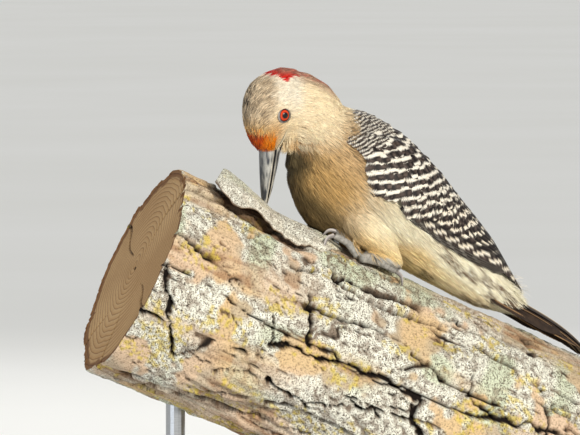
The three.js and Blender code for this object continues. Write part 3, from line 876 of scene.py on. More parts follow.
# ---------------------------------------------------------------- the trunk's outer shape
class Shell:
    """The left side's outer surface, as places over (along, arc) from the back's middle line."""

    ALONG = np.arange(-26.0, 113.0, 1.0)
    ANGLES = np.radians(np.arange(0.0, 180.1, 2.0))
    ARCS = np.arange(0.0, 90.0, 1.0)
    FAR = 90  # where the rays toward the body start

    def __init__(self, frame, names):
        tree = solids_tree(frame, names)
        middle = np.interp(self.ALONG, *SHELL_MIDDLE)
        axis = BODY_ALONG * self.ALONG[:, None] + BODY_UP * middle[:, None]
        out = BODY_UP * np.cos(self.ANGLES)[:, None] + LEFT * ACROSS * np.sin(self.ANGLES)[:, None]
        radius = np.empty((len(self.ALONG), len(self.ANGLES)))
        for i, j in np.ndindex(*radius.shape):
            hit = tree.ray_cast(Vector(axis[i] + out[j] * self.FAR), Vector(-out[j]), self.FAR)
            radius[i, j] = self.FAR - hit[3] if hit[0] is not None else np.nan
        self.fill(radius)
        for _ in range(3):
            radius = self.blurred(radius)
        grid = axis[:, None] + radius[:, :, None] * out
        self.arc = np.zeros_like(radius)
        self.arc[:, 1:] = np.cumsum(np.linalg.norm(np.diff(grid, axis=1), axis=2), axis=1)
        self.places = np.empty((len(self.ALONG), len(self.ARCS), 3))
        for i, k in np.ndindex(len(self.ALONG), 3):
            self.places[i, :, k] = np.interp(self.ARCS, self.arc[i], grid[i, :, k])
        normal = np.cross(np.gradient(self.places, axis=0), np.gradient(self.places, axis=1))
        flip = np.sign((normal * (self.places - axis[:, None])).sum(-1, keepdims=True))
        self.normals = unit(normal * np.where(flip == 0, 1, flip))

    @staticmethod
    def fill(radius):
        """Fills the places that no ray found from their neighbours, or as the thin tail's root."""
        for row in radius:
            good = ~np.isnan(row)
            if good.any():
                row[~good] = np.interp(np.flatnonzero(~good), np.flatnonzero(good), row[good])
            else:
                row[:] = 3.0

    @staticmethod
    def blurred(r):
        padded = np.pad(r, 1, mode="edge")
        padded[:, 0] = padded[:, 2]
        return (padded[1:-1, :-2] + padded[1:-1, 2:] + padded[:-2, 1:-1] + padded[2:, 1:-1] + 2 * r) / 6

    def at(self, along, arc):
        """Places and normals; a negative arc is beyond the back's middle line."""
        i = np.clip(along - self.ALONG[0], 0, len(self.ALONG) - 1.001)
        arc = np.clip(arc, -30, len(self.ARCS) - 1.001)
        j = np.abs(arc)
        i0, j0 = i.astype(int), j.astype(int)
        fi, fj = (i - i0)[..., None], (j - j0)[..., None]
        result = []
        for grid in (self.places, self.normals):
            value = (grid[i0, j0] * (1 - fi) + grid[i0 + 1, j0] * fi) * (1 - fj)
            value = value + (grid[i0, j0 + 1] * (1 - fi) + grid[i0 + 1, j0 + 1] * fi) * fj
            value[arc < 0, 1] *= -1
            result.append(value)
        beyond = (along - self.ALONG[-1]).clip(0)[..., None] * BODY_ALONG
        return result[0] + beyond, unit(result[1])

    def wing_low(self, along):
        """Arcs of the wing's lower edge."""
        arcs = []
        for a, rim in zip(along, np.interp(along, *WING_RIM)):
            row = int(np.clip(round(a - self.ALONG[0]), 0, len(self.ALONG) - 1))
            arcs.append(np.interp(math.radians(rim), self.ANGLES, self.arc[row]))
        return np.array(arcs)


# ---------------------------------------------------------------- feathers of the wings and mantle
WING_RIM = (  # along, and the angle from the back's middle line where the wing and mantle end
    (-13, -11, -8, -3, 4, 7, 11, 14, 22, 35, 41, 59, 74, 89, 101, 107),
    (33, 50, 70, 73, 75, 79, 85, 93, 97, 102, 98, 96, 86, 61, 43, 26),
)
VANE_COLUMNS = np.array([-1, -0.8, -0.56, -0.32, -0.08, 0.08, 0.32, 0.56, 0.8, 1.0])
ROW = 0.44  # spacing of a vane's rows of barbs


def vane_line(feather, rows):
    """Along, arc and heading of a feather's shaft."""
    if "line" in feather:
        along, arc = smooth_path(feather["line"], rows).T
        return along, arc, np.arctan2(np.gradient(arc), np.gradient(along))
    heading = feather["heading"] + feather["curl"] * np.linspace(0, 1, rows)
    stride = feather["length"] / (rows - 1)
    along = feather["along"] + np.concatenate([[0], np.cumsum(np.cos(heading[:-1]))]) * stride
    arc = feather["arc"] + np.concatenate([[0], np.cumsum(np.sin(heading[:-1]))]) * stride
    return along, arc, heading


def up_and_down(rows):
    """Raises every other row of barbs."""
    return np.where(np.arange(rows)[:, None] % 2, 1, -1)


def vane(shell, feather, side):
    """One feather's points, quads, colours and OFBake places."""
    rows = max(int(feather["length"] / ROW), 6)
    along, arc, heading = (x[:, None] for x in vane_line(feather, rows))
    t = np.linspace(0, 1, rows)[:, None]
    v = VANE_COLUMNS
    fore, aft, point = feather["shape"]
    half = 0.5 * feather["width"] * np.clip(t / fore, 0, 1) ** 0.5
    half = half * np.sqrt(np.clip(1 - (np.clip(t - aft, 0, 1) / (1 - aft)) ** point, 0, 1))
    half = np.maximum(half, 0.05)
    ragged = 1 + feather["ragged"] * RNG.uniform(-1, 1, rows)[:, None] * (np.abs(v) > 0.9)
    lean = 0.8 * half * np.abs(v)
    across = v * half * ragged
    a = along + lean * np.cos(heading) - across * np.sin(heading)
    s = arc + lean * np.sin(heading) + across * np.cos(heading)
    place, normal = shell.at(a, s)
    rise = feather["low"] + (feather["high"] - feather["low"]) * t**0.8
    rise = rise + feather["camber"] * (1 - v**2) - feather["roll"] * across
    rise = rise + feather["relief"] * up_and_down(rows) * ((np.abs(v) > 0.2) & (np.abs(v) < 0.9))
    points = (place + normal * rise[..., None]).reshape(-1, 3) * np.array([1, -side, 1])
    colours = wing_marks(points, np.tile(v, rows), a.ravel(), s.ravel(), feather, side)
    return points, grid_quads(rows, len(v)), colours, bake_place(points)


BAR_PERIOD_AT = ([-60, -38, -15, 60], [3.6, 3.9, 4.7, 5.1])
FINE_PERIOD = 2.5  # of the mantle's bars
SPOT_PERIOD = 7.5  # of the primaries' spots
BAR_SOFT = 0.07  # softness of a bar's edges


def level(p):
    """How far down the wing a place is, across its rows of bars."""
    return -0.985 * p[:, 2] + 0.174 * p[:, 0]


def bar_phase(p):
    """Counts white bars from the shoulder down to the wing's tip."""
    depth = level(p) + 0.9 * noise(p, 14, 11)
    grid = np.linspace(-70, 75, 300)
    period = np.interp(grid, *BAR_PERIOD_AT)
    count = np.concatenate([[0], np.cumsum(np.diff(grid) / period[1:])])
    return np.interp(depth, grid, count), np.interp(depth, *BAR_PERIOD_AT)


WING_WHITE = srgb(236, 230, 216)
WING_CREAM = srgb(236, 214, 172)
WING_DARK = srgb(98, 85, 78)
WING_BLACK = srgb(30, 25, 24)


def wing_marks(points, v, a, s, feather, side):
    """Barred near the shoulder, spotted farther back, black with a pale edge on the primaries."""
    p = points * np.array([1, -side, 1])  # both wings read the left one's markings
    tone = step(0.1, 0.6, np.abs(v)) * (0.6 + 0.4 * noise(p, 1.2, 2))
    dark = mix(WING_BLACK, WING_DARK, tone)
    if feather["kind"] != "primary":
        return bars(p, v, a, s, feather, dark)
    row = (a - feather["jitter"] * 3) / SPOT_PERIOD
    spots = step(0.62, 0.7, np.abs(row % 1 - 0.5) * 2) * step(0.5, 0.75, v)
    white = np.maximum(0.10 * step(0.85, 0.99, v), 0.15 * spots * (1 - step(70, 84, a)))
    return mix(dark * 0.3, WING_WHITE, white)


def bars(p, v, a, s, feather, dark):
    """White bars in V shape across dark feathers, broken into spots toward the wing's tip."""
    phase, period = bar_phase(p)
    rear = step(-8, 16, level(p))
    sweep = (0.10 + 0.6 * rear) * np.abs(v) * feather["width"] * 0.24 / period
    phase = phase + feather["jitter"] * 0.24 + sweep + 0.12 * noise(p, 3.5, 14)
    duty = 0.31 + 0.10 * rear + 0.06 * step(-14, -26, level(p))
    if feather["kind"] == "covert" and feather["along"] < -3 + 5 * feather["jitter"]:
        phase = (a + 0.45 * s + 0.8 * noise(p, 5, 15)) / FINE_PERIOD + 0.3 * np.abs(v)
        phase = phase + 0.3 * feather["jitter"]
        duty = 0.28
    wave = np.abs((phase % 1) - 0.5) * 2 + 0.08 * noise(p, 0.8, 4)
    dark = mix(dark, WING_BLACK, 0.7 * step(0.5 - duty, 0.8 - duty, wave))
    off_shaft = step(0.06, 0.2, np.abs(v))
    rim = 1 - rear * step(0.80, 0.95, np.abs(v))
    bar = step(1 - duty - BAR_SOFT, 1 - duty + BAR_SOFT, wave) * (1 - rear * (1 - off_shaft)) * rim
    white = mix(WING_WHITE, WING_CREAM, 0.5 * step(0.0, 0.5, phase % 1) * rear * 0.6)
    return mix(dark, white, bar)


def filaments(shell, material):
    """Loose white barbs beyond the wing's end, from the rump."""
    number = 90
    along, arc = RNG.uniform(97, 107, number), RNG.uniform(-5, 9, number)
    place, normal = shell.at(along, arc)
    heading = unit(BODY_ALONG + 0.35 * RNG.standard_normal((number, 3)) + 0.25 * normal)
    colour = WING_WHITE * RNG.uniform(0.8, 1.0, number)[:, None]
    length = RNG.uniform(3, 7, number)
    thin = RNG.uniform(0.1, 0.22, number)
    lift = RNG.uniform(0.6, 1.6, number)
    barbs = bristles(place, normal, heading, length, thin, lift, colour)
    obj = make_mesh("rump_filaments", *barbs, [material])
    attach(obj, "root")


COVERTS_FROM, COVERTS_TO = -20.0, 66
COVERT_SPACING = 4.1  # between neighbours in a row
COVERT_LENGTH, COVERT_WIDTH = 12.5, 7.4
STRIP = (  # along, and how much of the primaries shows below the rest
    (0, 20, 30, 40, 60, 80, 95, 105),
    (0.2, 0.8, 2.0, 3.0, 4.4, 5.4, 4.0, 1.5),
)


def covert(a, arc):
    """One feather of the mantle and the coverts."""
    small = 1 - 0.25 * step(20, -10, a)
    spread_out = 0.62 * step(3, 20, arc) * (1 - 0.75 * step(15, 55, a))
    heading = spread_out + 0.10 * RNG.standard_normal() - 0.25 * step(40, 65, a) * step(5, 30, arc)
    return {
        "kind": "covert", "along": a - 6 + RNG.uniform(-0.5, 0.5),
        "arc": arc - 3 * math.sin(heading) + RNG.uniform(-0.4, 0.4),
        "heading": heading, "curl": RNG.uniform(-0.08, 0.08),
        "length": COVERT_LENGTH * small * RNG.uniform(0.92, 1.08), "width": COVERT_WIDTH * small,
        "low": -1.2, "high": 0.65 + RNG.uniform(-0.1, 0.15), "camber": 0.35,
        "roll": 0.05 + RNG.uniform(-0.02, 0.02), "shape": (0.15, 0.45, 2.2),
        "jitter": RNG.uniform(-1, 1), "ragged": 0.07, "relief": 0.03,
    }


def covert_feathers(shell):
    """Rows of overlapping feathers from the mantle to the greater coverts."""
    feathers = []
    along, row = COVERTS_FROM, 0
    while along < COVERTS_TO:
        arc = 1.5 + (row % 2) * 2.0
        while arc <= 58:
            a = along - 2 + 0.20 * arc
            limit = shell.wing_low([a])[0] - 3 - (np.interp(a, *STRIP) + 3.2 * step(18, 32, a))
            if arc < limit and -13 < a < 62:
                feathers.append(covert(a, arc))
            arc += COVERT_SPACING
        along += 3.9 if along < 0 else 4.6
        row += 1
    return feathers


INNER_FEATHERS, PRIMARIES = 9, 8
INNER_TOP = np.array([0.14, 0.10, 0.08, 0.08, 0.10])  # how far down the wing the first one lies


def flight_feathers(shell):
    """Long inner feathers, stacked from the back downward, then the primaries beneath."""
    feathers = []
    for k in range(INNER_FEATHERS):
        u = k / (INNER_FEATHERS - 1)
        end = np.interp(u, [0, 0.15, 0.5, 1], [98, 107.5, 106, 95])
        a = np.array([36 + 4 * u, 55, 72, 86, end])
        low = shell.wing_low(a) - np.interp(a, *STRIP) - 2.6
        arc = np.maximum(low * (INNER_TOP + (1 - INNER_TOP) * u), 1.2)
        feathers.append(long_feather("inner", a, arc, 8.0, 0.40 - 0.08 * k, 0.55 - 0.08 * k))
    for k in range(PRIMARIES):
        a = np.array([30, 50, 62, 74, 83, 88.5 + 1.1 * k])
        arc = shell.wing_low(a) - 2.5 - 1.15 * k * np.array([0.5, 0.7, 0.9, 1, 0.8, 0.4])
        under = 0.08 * (PRIMARIES - k)
        feathers.append(long_feather("primary", a, np.maximum(arc, 1.5), 5.6, -0.35 - under, -0.3 - under))
    return feathers


def long_feather(kind, along, arc, width, low, high):
    line = np.stack([along, arc], 1)
    inner = kind == "inner"
    return {
        "kind": kind, "line": line, "length": np.linalg.norm(np.diff(line, axis=0), axis=1).sum(),
        "width": width, "low": low, "high": high, "camber": 0.4 if inner else 0.12,
        "roll": 0.07 if inner else -0.1, "shape": (0.04, 0.84, 2.0), "jitter": RNG.uniform(-1, 1),
        "ragged": 0.03, "relief": 0.012,
    }


def wings(frame, material):
    """Both wings and the mantle between them; gives the shell that they lie on."""
    shell = Shell(frame, ["trunk", "wing_left", "primaries_left"])
    for label, side in SIDES:
        feathers = flight_feathers(shell)[::-1] + covert_feathers(shell)[::-1]
        parts = [vane(shell, feather, side) for feather in feathers]
        obj = make_mesh(f"wing_feathers_{label}", *joined(parts), [material])
        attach(obj, "root")
        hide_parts(f"wing_{label}", f"primaries_{label}")
    return shell


# ---------------------------------------------------------------- perch
LIMB_TOP, LIMB_RADIUS = -2.0, 50.0
LIMB_FROM, LIMB_TO = -58.0, 172.0
LIMB_TURN = FULL_TURN * LIMB_RADIUS
PLATE = np.array([  # along, how far its face stands out, extra at its lower edge, angles toward the left
    (-39.5, 9.6, 0.2, 3, 22), (-37, 9.4, 0.4, -3, 30), (-30, 8, 1, -5, 33), (-22, 5, 2, -6, 34),
    (-12, 1.2, 2.8, -6, 35), (0, 0.9, 1.8, -5, 38), (14, 2, 0.2, -4, 32), (26, 0.2, 0, -3, 18),
], float)
PLATE_THICKNESS = 3.4
BARK_GRID = 0.85
BARK_SEED, PLATE_SEED = 41, 63


def limb_point(along, angle, radius):
    along, angle, radius = np.broadcast_arrays(along, angle, radius)
    p = along[..., None] * LIMB_ALONG
    p = p + (LIMB_TOP - LIMB_RADIUS + radius * np.cos(angle))[..., None] * LIMB_UP
    return p + (LEFT * radius * np.sin(angle))[..., None] * ACROSS


def bark_relief(along, angle):
    """The limb's slow swells and ridges over a plain cylinder."""
    swell = 1.1 * np.sin(along / 23 + 1.3) * np.cos(angle + 0.6) + 0.7 * np.sin(along / 41 + 3 * angle)
    ridges = 0.9 * np.sin(9 * angle + 0.05 * along + 1.2 * np.sin(along / 17))
    return (swell + ridges) * (1 - 0.75 * np.exp(-((angle / 0.5) ** 2)))


def round_gap(d):
    """A distance round the limb, taken the shorter way."""
    return (d + LIMB_TURN / 2) % LIMB_TURN - LIMB_TURN / 2


def cells(x, y, across, long, seed):
    """Cracked plates: distance to the nearest crack, each plate's number, and 1 on cross cracks.

    x runs along the limb and y round it.
    """
    rng = np.random.default_rng(seed)
    columns = int(round(LIMB_TURN / across))
    rows = int((LIMB_TO - LIMB_FROM + 80) / long)
    cx, cy = np.meshgrid(np.arange(rows), np.arange(columns), indexing="ij")
    px = (cx + 0.5 * (cy % 2) + rng.uniform(-0.42, 0.42, cx.shape)) * long + LIMB_FROM - 40
    py = (cy + rng.uniform(-0.38, 0.38, cy.shape)) * LIMB_TURN / columns
    px, py = px.ravel(), py.ravel()
    best, second = np.full(x.shape, 1e9), np.full(x.shape, 1e9)
    number, other = np.zeros(x.shape, int), np.zeros(x.shape, int)
    stretch = long / (LIMB_TURN / columns)
    for k, (qx, qy) in enumerate(zip(px, py)):
        d = np.hypot((x - qx) / stretch, round_gap(y - qy))
        nearer = d < best
        closer = ~nearer & (d < second)
        other = np.where(nearer, number, np.where(closer, k, other))
        second = np.where(nearer, best, np.where(closer, d, second))
        number = np.where(nearer, k, number)
        best = np.where(nearer, d, best)
    dx = np.abs(px[number] - px[other]) / stretch
    dy = np.abs(round_gap(py[number] - py[other]))
    gap = second - best + np.maximum(best - 1.05 * across, 0)
    return gap, number, step(0.35, 0.75, dx / (dx + dy + 1e-6))


RIFTS = np.array([  # the widest cracks: along and degrees toward the left at both ends, and width
    (-54, 88, -46, 108, 4.2), (-46, 108, -33, 130, 2.0), (12, 66, 21, 89, 3.4), (4, 98, 22, 94, 2.6),
    (22, 94, 42, 91, 2.6), (-1, 84, 4, 98, 1.8), (-1, 56, 29, 46, 2.2), (-44, 174, -17, 152, 5.0),
    (-17, 152, 23, 145, 3.4), (-11, 140, 6, 132, 2.6), (9, 118, 33, 121, 2.6), (33, 117, 46, 112, 1.8),
    (42, 91, 69, 90, 3.0), (69, 90, 82, 90, 4.4), (82, 90, 78, 102, 4.0), (78, 102, 88, 109, 3.6),
    (99, 78, 120, 83, 2.2), (120, 83, 158, 73, 2.4), (76, 41, 99, 38, 2.0), (99, 64, 100, 77, 1.2),
    (87, 54, 89, 66, 1.0), (130, 55, 137, 60, 1.5), (51, 108, 65, 108, 1.6),
], float)


def rift_depth(x, y):
    """1 in the bark's widest cracks, which waver and pinch."""
    q = flat(x, y)
    wx = x + 1.8 * noise(q, 5.5, 81) + 0.8 * noise(q, 2.2, 82)
    wy = y + 1.8 * noise(q, 5.5, 83) + 0.8 * noise(q, 2.2, 84)
    pinch = 0.75 + 0.55 * noise(q, 6, 85)
    depth = np.zeros(x.shape)
    for from_x, from_angle, to_x, to_angle, width in RIFTS:
        from_y = math.radians(from_angle) * LIMB_RADIUS
        dx, dy = to_x - from_x, math.radians(to_angle) * LIMB_RADIUS - from_y
        t = np.clip(((wx - from_x) * dx + (wy - from_y) * dy) / (dx * dx + dy * dy), 0, 1)
        away = np.hypot(wx - from_x - dx * t, wy - from_y - dy * t)
        depth = np.maximum(depth, 1 - step(0.55, 1.15, away / (0.5 * width * pinch)))
    return depth


def bark_facts(x, y, seed, crack_width=1.5):
    """Height over the limb's form, depth of crack, lichen, yellow lichen and fibre."""
    q, drawn = flat(x, y), flat(x / 3, y)
    wx = x + 12 * noise(q, 26, seed) + 3.5 * noise(q, 8, seed + 1)
    wy = y + 7 * noise(drawn, 15, seed + 2) + 2.2 * noise(drawn, 5, seed + 3)
    wy = wy + 0.8 * noise(q, 3, seed + 4)
    gap, number, cross = cells(wx, wy, 17, 78, seed)
    small_gap, small, small_cross = cells(wx + 20, wy + 7, 7.5, 30, seed + 9)
    open_here = step(-0.3, 0.3, noise(q, 18, seed + 5)) * (1 - 0.75 * cross)
    fine_here = step(0.0, 0.4, noise(q, 11, seed + 6)) * (1 - 0.5 * small_cross)
    width = crack_width * (0.35 + 0.9 * open_here)
    crack = (1 - step(0.25 * width, width, gap)) * (0.15 + 0.85 * open_here)
    crack = np.maximum(crack, (1 - step(0.05, 0.7, small_gap)) * 0.75 * fine_here)
    thread = np.abs(noise(flat(wx / 9, wy), 6, seed + 40))
    thread_here = step(0.0, 0.35, noise(q, 14, seed + 41))
    crack = np.maximum(crack, (1 - step(0.015, 0.07, thread)) * 0.8 * thread_here)
    low_side = step(0.5, 1.1, np.abs(y / LIMB_RADIUS - 1.35))
    fibrous = step(-0.05, 0.4, noise(drawn, 16, seed + 8) + 0.35 * (low_side - 0.3))
    lichen = noise(q, 17, seed + 20) + 0.4 * noise(q, 4.5, seed + 21) + 0.08
    lichen = step(-0.14, 0.1, lichen) * (1 - 0.75 * fibrous)
    yellow = step(0.30, 0.48, noise(drawn, 7, seed + 22) + 0.5 * noise(q, 2.4, seed + 23))
    rng = np.random.default_rng(seed)
    lift = rng.uniform(-1, 1, number.max() + 1)[number]
    small_lift = rng.uniform(-1, 1, small.max() + 1)[small]
    height = 1.0 * lift * step(0, 2.2, gap)
    height = height + 0.45 * small_lift * step(0, 1.2, small_gap) * (0.3 + 0.7 * fine_here)
    fibre = noise(flat(x / 12, y), 1.4, seed + 7)
    height = height + fibre * (0.18 + 0.75 * fibrous) + 0.35 * noise(q, 4.5, seed + 26)
    crust = 0.26 * noise(q, 1.9, seed + 24) + 0.2 * noise(q, 1.0, seed + 25) + 0.2
    height = height + lichen * crust - crack * (3.6 * open_here + 0.9)
    return height, crack, lichen, yellow, fibrous


BARK_TAN = srgb(208, 180, 138)
BARK_PINK = srgb(208, 182, 154)
BARK_GREY = srgb(176, 164, 142)
LICHEN_WHITE = srgb(222, 221, 208)
LICHEN_MINT = srgb(198, 204, 180)
LICHEN_YELLOW = srgb(204, 182, 62)
CRACK_SHADE = srgb(24, 17, 13)
BARK_BROWN = srgb(150, 112, 80)


def bark_colour(x, y, facts, seed):
    """Tan and grey bark with crusts of pale lichen and yellow specks; its cracks are darkened with painted
    shade, black in their depths.
    """
    height, crack, lichen, yellow, fibrous = facts
    q = flat(x, y)
    base = mix(BARK_TAN, BARK_PINK, step(-0.3, 0.4, noise(q, 26, seed + 30)))
    base = mix(base, BARK_GREY, 0.7 * step(0.05, 0.5, noise(q, 13, seed + 31)))
    brown = step(-0.2, 0.4, noise(flat(x / 6, y), 1.6, seed + 32))
    base = mix(base, BARK_BROWN, 0.75 * fibrous * brown)
    pale = mix(LICHEN_WHITE, LICHEN_MINT, step(0.0, 0.5, noise(q, 16, seed + 33)))
    pits = step(0.1, 0.5, noise(q, 1.7, seed + 34) + 0.5 * noise(q, 7, seed + 36))
    pale = mix(pale, BARK_BROWN * 0.45, 0.55 * pits)
    speck = yellow * step(-0.15, 0.25, noise(q, 1.3, seed + 35))
    colour = mix(mix(base, pale, lichen), LICHEN_YELLOW, 0.65 * speck)
    # Cracks: dark brown at their edges, partly inner bark and partly painted shade, and black painted shade
    # deeper in.
    colour = mix(colour, BARK_BROWN * 0.5, step(0.15, 0.5, crack) * 0.8)
    return mix(colour, CRACK_SHADE, step(0.35, 0.85, crack))


def bark_material():
    """Flaky bark, with dark pits and specks where crusts of lichen cover it."""
    m = Nodes("bark")
    base = m.colours()
    crust = m.number("crust")
    fine = m.noise(1100, 5.0, 0.7)
    grit = m.noise(1800, 2.0, 0.4)
    tone = m.ramp(fine, [(0.36, (0.42, 0.37, 0.33)), (0.48, (0.98, 0.97, 0.96)), (0.7, (1.2, 1.2, 1.17))])
    specks = m.ramp(grit, [(0.36, (0.10, 0.08, 0.07)), (0.42, (0.55, 0.50, 0.44)), (0.46, (1.08,) * 3)])
    colour = m.tinted(base, tone)
    colour = m.mix(crust, colour, m.tinted(colour, specks))
    m.bump(m.plus(fine, m.times(grit, 0.5)), 0.8, 0.0006)
    m.set(Specular_IOR_Level=0.2)
    return m.finish(colour, 0.92)


def end_grain_material():
    """Pale wood with growth rings, from the distance to the limb's own heart."""
    m = Nodes("end_grain")
    radius = m.number("radius")
    wobble = m.plus(m.times(m.noise(28, 2.0), 9.0), m.times(m.noise(150, 2.0), 1.2))
    ring = m.math("FRACT", m.times(m.plus(radius, wobble), 0.38))
    pale = (206, 172, 124)
    wood = m.painted(ring, [(0.0, pale), (0.7, (196, 156, 104)), (0.93, (146, 104, 62)), (1.0, pale)])
    stain = m.ramp(m.noise(22, 3.0), [(0.35, (0.80, 0.72, 0.62)), (0.65, (1.04, 1.02, 1.0))])
    wood = m.mix(0.8, wood, m.tinted(wood, stain))
    saw = m.noise(1400, 4.0, 0.7)
    tone = m.ramp(saw, [(0.3, (0.78, 0.76, 0.74)), (0.7, (1.06, 1.06, 1.06))])
    check = m.colours()
    colour = m.tinted(m.tinted(wood, tone), check)
    m.bump(m.plus(m.times(ring, 0.5), saw), 0.5, 0.0003)
    return m.finish(colour, 0.85)


def limb_mesh(material):
    """The limb's bark, and the rims of its two sawn ends."""
    rows = int((LIMB_TO - LIMB_FROM) / BARK_GRID) + 1
    columns = int(LIMB_TURN / BARK_GRID)
    angle = np.linspace(-math.pi, math.pi, columns, endpoint=False)
    x, angle = np.meshgrid(np.linspace(LIMB_FROM, LIMB_TO, rows), angle, indexing="ij")
    y = angle * LIMB_RADIUS
    height, crack, lichen, *rest = bark_facts(x, y, BARK_SEED)
    rift = rift_depth(x, y)
    crack = np.maximum(crack, rift)
    covered = plate_cover(x, angle)
    ends = np.minimum(x - LIMB_FROM, LIMB_TO - x)
    colour = bark_colour(x, y, (height, crack, lichen, *rest), BARK_SEED)
    # Painted shadow: the bark darkened where the loose plate hangs over it.
    colour = mix(colour, BARK_BROWN * 0.35, covered * 0.85)
    height = bark_relief(x, angle) + height - 0.4 - 1.6 * covered - 3.4 * rift
    height = height - 0.5 * (1 - step(0, 1.2, ends))
    points = limb_point(x, angle, LIMB_RADIUS + height).reshape(-1, 3)
    quads = grid_quads(rows, columns, closed=True)
    obj = make_mesh("limb_bark", points, quads, colour.reshape(-1, 3), None, [material])
    float_layer(obj, "crust", lichen * (1 - crack))
    return obj, points[:columns], points[-columns:]


def plate_cover(x, angle):
    """1 where the loose plate hangs over the limb, where the bark is sunk and darkened with painted shadow.
    """
    low = np.radians(np.interp(x, PLATE[:, 0], PLATE[:, 3]))
    high = np.radians(np.interp(x, PLATE[:, 0], PLATE[:, 4])) + 0.06
    inside = step(-0.03, 0.03, angle - low) * step(-0.02, 0.04, high - angle)
    under = step(-41, -38, x) * (1 - step(-16, -6, x))
    lip = step(0.2, 0.1, high - angle) * step(-41, -38, x) * (1 - step(2, 10, x))
    return inside * np.maximum(under, lip)


def eased(values, rounds=12):
    """A row of values with its corners smoothed and its ends kept."""
    for _ in range(rounds):
        middle = (values[:-2] + 2 * values[1:-1] + values[2:]) / 4
        values = np.concatenate([values[:1], middle, values[-1:]])
    return values


def plate_edges(along, low, high):
    """The loose plate's upper and lower edges, in wavy lines."""
    low = low + 1.6 * noise(flat(along, 0 * along), 6, 77)
    high = high + 8 * (1 - step(-37, -20, along)) + 2.2 * noise(flat(along, 0 * along), 7, 78)
    return low, high + 1.0 * noise(flat(along, 0 * along), 2.2, 79)


def sheet_quads(rows, columns):
    """A closed sheet's face, back and edge, from two grids of vertices one after the other."""
    n = rows * columns
    face = grid_quads(rows, columns)
    rim = np.concatenate([
        np.arange(columns - 1), np.arange(rows - 1) * columns + columns - 1,
        n - 1 - np.arange(columns - 1), (rows - 1 - np.arange(rows - 1)) * columns,
    ])
    following = np.roll(rim, -1)
    wall = np.stack([rim, rim + n, following + n, following], -1)
    return np.concatenate([face, face[:, [0, 3, 2, 1]] + n, wall])


def plate_mesh(material):
    """The loose plate: face, edge and underside in one closed sheet."""
    rows, columns = 110, 44
    along = np.linspace(PLATE[0, 0], PLATE[-1, 0], rows)
    stand_out, lift, low, high = (eased(np.interp(along, PLATE[:, 0], PLATE[:, k])) for k in (1, 2, 3, 4))
    edge = np.linspace(0, 1, columns)
    stand_out = stand_out[:, None] + lift[:, None] * edge**2
    slant = 7.5 * (1 - step(-40, -12, along))
    x = along[:, None] - slant[:, None] * edge
    low, high = plate_edges(along, low, high)
    angle = np.radians(low[:, None] + (high - low)[:, None] * edge[None])
    y = angle * LIMB_RADIUS
    height, crack, lichen, yellow, fibrous = bark_facts(x, y, PLATE_SEED, 0.9)
    lichen = np.clip(lichen + 0.75, 0, 1)
    facts = (height, crack * 0.35, lichen, yellow * 0.5, fibrous * 0.3)
    rim = np.sin(math.pi * np.clip(edge, 0.03, 0.97))[None] ** 0.3
    rim = rim * np.clip((along - along[0]) / 2.5 + 0.25, 0, 1)[:, None] ** 0.5
    relief = np.clip(height, -0.9, 0.9) * 0.6
    top = limb_point(x, angle, LIMB_RADIUS + stand_out + relief - 0.9 * (1 - rim))
    thick = PLATE_THICKNESS * (0.35 + 0.65 * rim) + 0.5 * noise(flat(x / 5, y), 2, 5)
    under = limb_point(x, angle, LIMB_RADIUS + stand_out - thick)
    colour = mix(bark_colour(x, y, facts, PLATE_SEED), LICHEN_WHITE * 1.08, 0.42)
    inner = mix(BARK_BROWN, BARK_BROWN * 0.4, 0.5 + 0.5 * noise(flat(x / 6, y), 1.4, 6))
    points, tint = (np.concatenate([a, b]).reshape(-1, 3) for a, b in ((top, under), (colour, inner)))
    obj = make_mesh("loose_plate", points, sheet_quads(rows, columns), tint, None, [material])
    float_layer(obj, "crust", np.concatenate([lichen, 0 * lichen]))
    return obj


END_CHECKS = (  # cracks in a sawn end: angle, how far in they start, and width
    (0.4, 0.25, 0.018), (1.9, 0.5, 0.012), (-1.2, 0.35, 0.015), (-2.6, 0.6, 0.010), (2.8, 0.45, 0.010),
)


def end_mesh(name, rim, along, material):
    """A sawn end of the limb: rings of vertices from the bark in to the heart."""
    heart = limb_point(np.array(along), np.array(0.0), np.array(0.0))
    shares = np.concatenate([[1.0, 0.985], np.linspace(0.96, 0.02, 46)])[:, None]
    angle = np.linspace(-math.pi, math.pi, len(rim), endpoint=False)
    check = np.zeros((len(shares), len(rim)))
    for centre, start, wide in END_CHECKS:
        wander = centre + 0.06 * np.sin(shares * 9)
        near = np.abs((angle - wander + math.pi) % FULL_TURN - math.pi)
        deep = (1 - step(0.3, 1.3, near / (wide * 1.5))) * step(start - 0.1, start + 0.1, shares)
        check = np.maximum(check, deep)
    points = heart + (rim - heart)[None] * shares[..., None]
    sway = LIMB_ALONG * math.copysign(1, along)
    points = points - sway * (1.5 * check + 0.6 * (shares < 0.99))[..., None]
    tint = mix(np.ones(3), np.array([0.45, 0.34, 0.26]), step(0.925, 0.94, shares))
    tint = mix(tint, np.array([0.08, 0.05, 0.04]), check)
    quads = grid_quads(*check.shape, closed=True)
    obj = make_mesh(name, points.reshape(-1, 3), quads, tint.reshape(-1, 3), None, [material])
    float_layer(obj, "radius", np.linalg.norm(points - heart - np.array([0, 3.0, 2.0]), axis=-1))
    return obj


def perch():
    bark, wood = bark_material(), end_grain_material()
    limb, high_rim, low_rim = limb_mesh(bark)
    made = [limb, plate_mesh(bark)]
    made.append(end_mesh("limb_end_high", high_rim, LIMB_FROM, wood))
    made.append(end_mesh("limb_end_low", low_rim, LIMB_TO, wood))
    for obj in made:
        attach(obj, "root")
    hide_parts("perch")


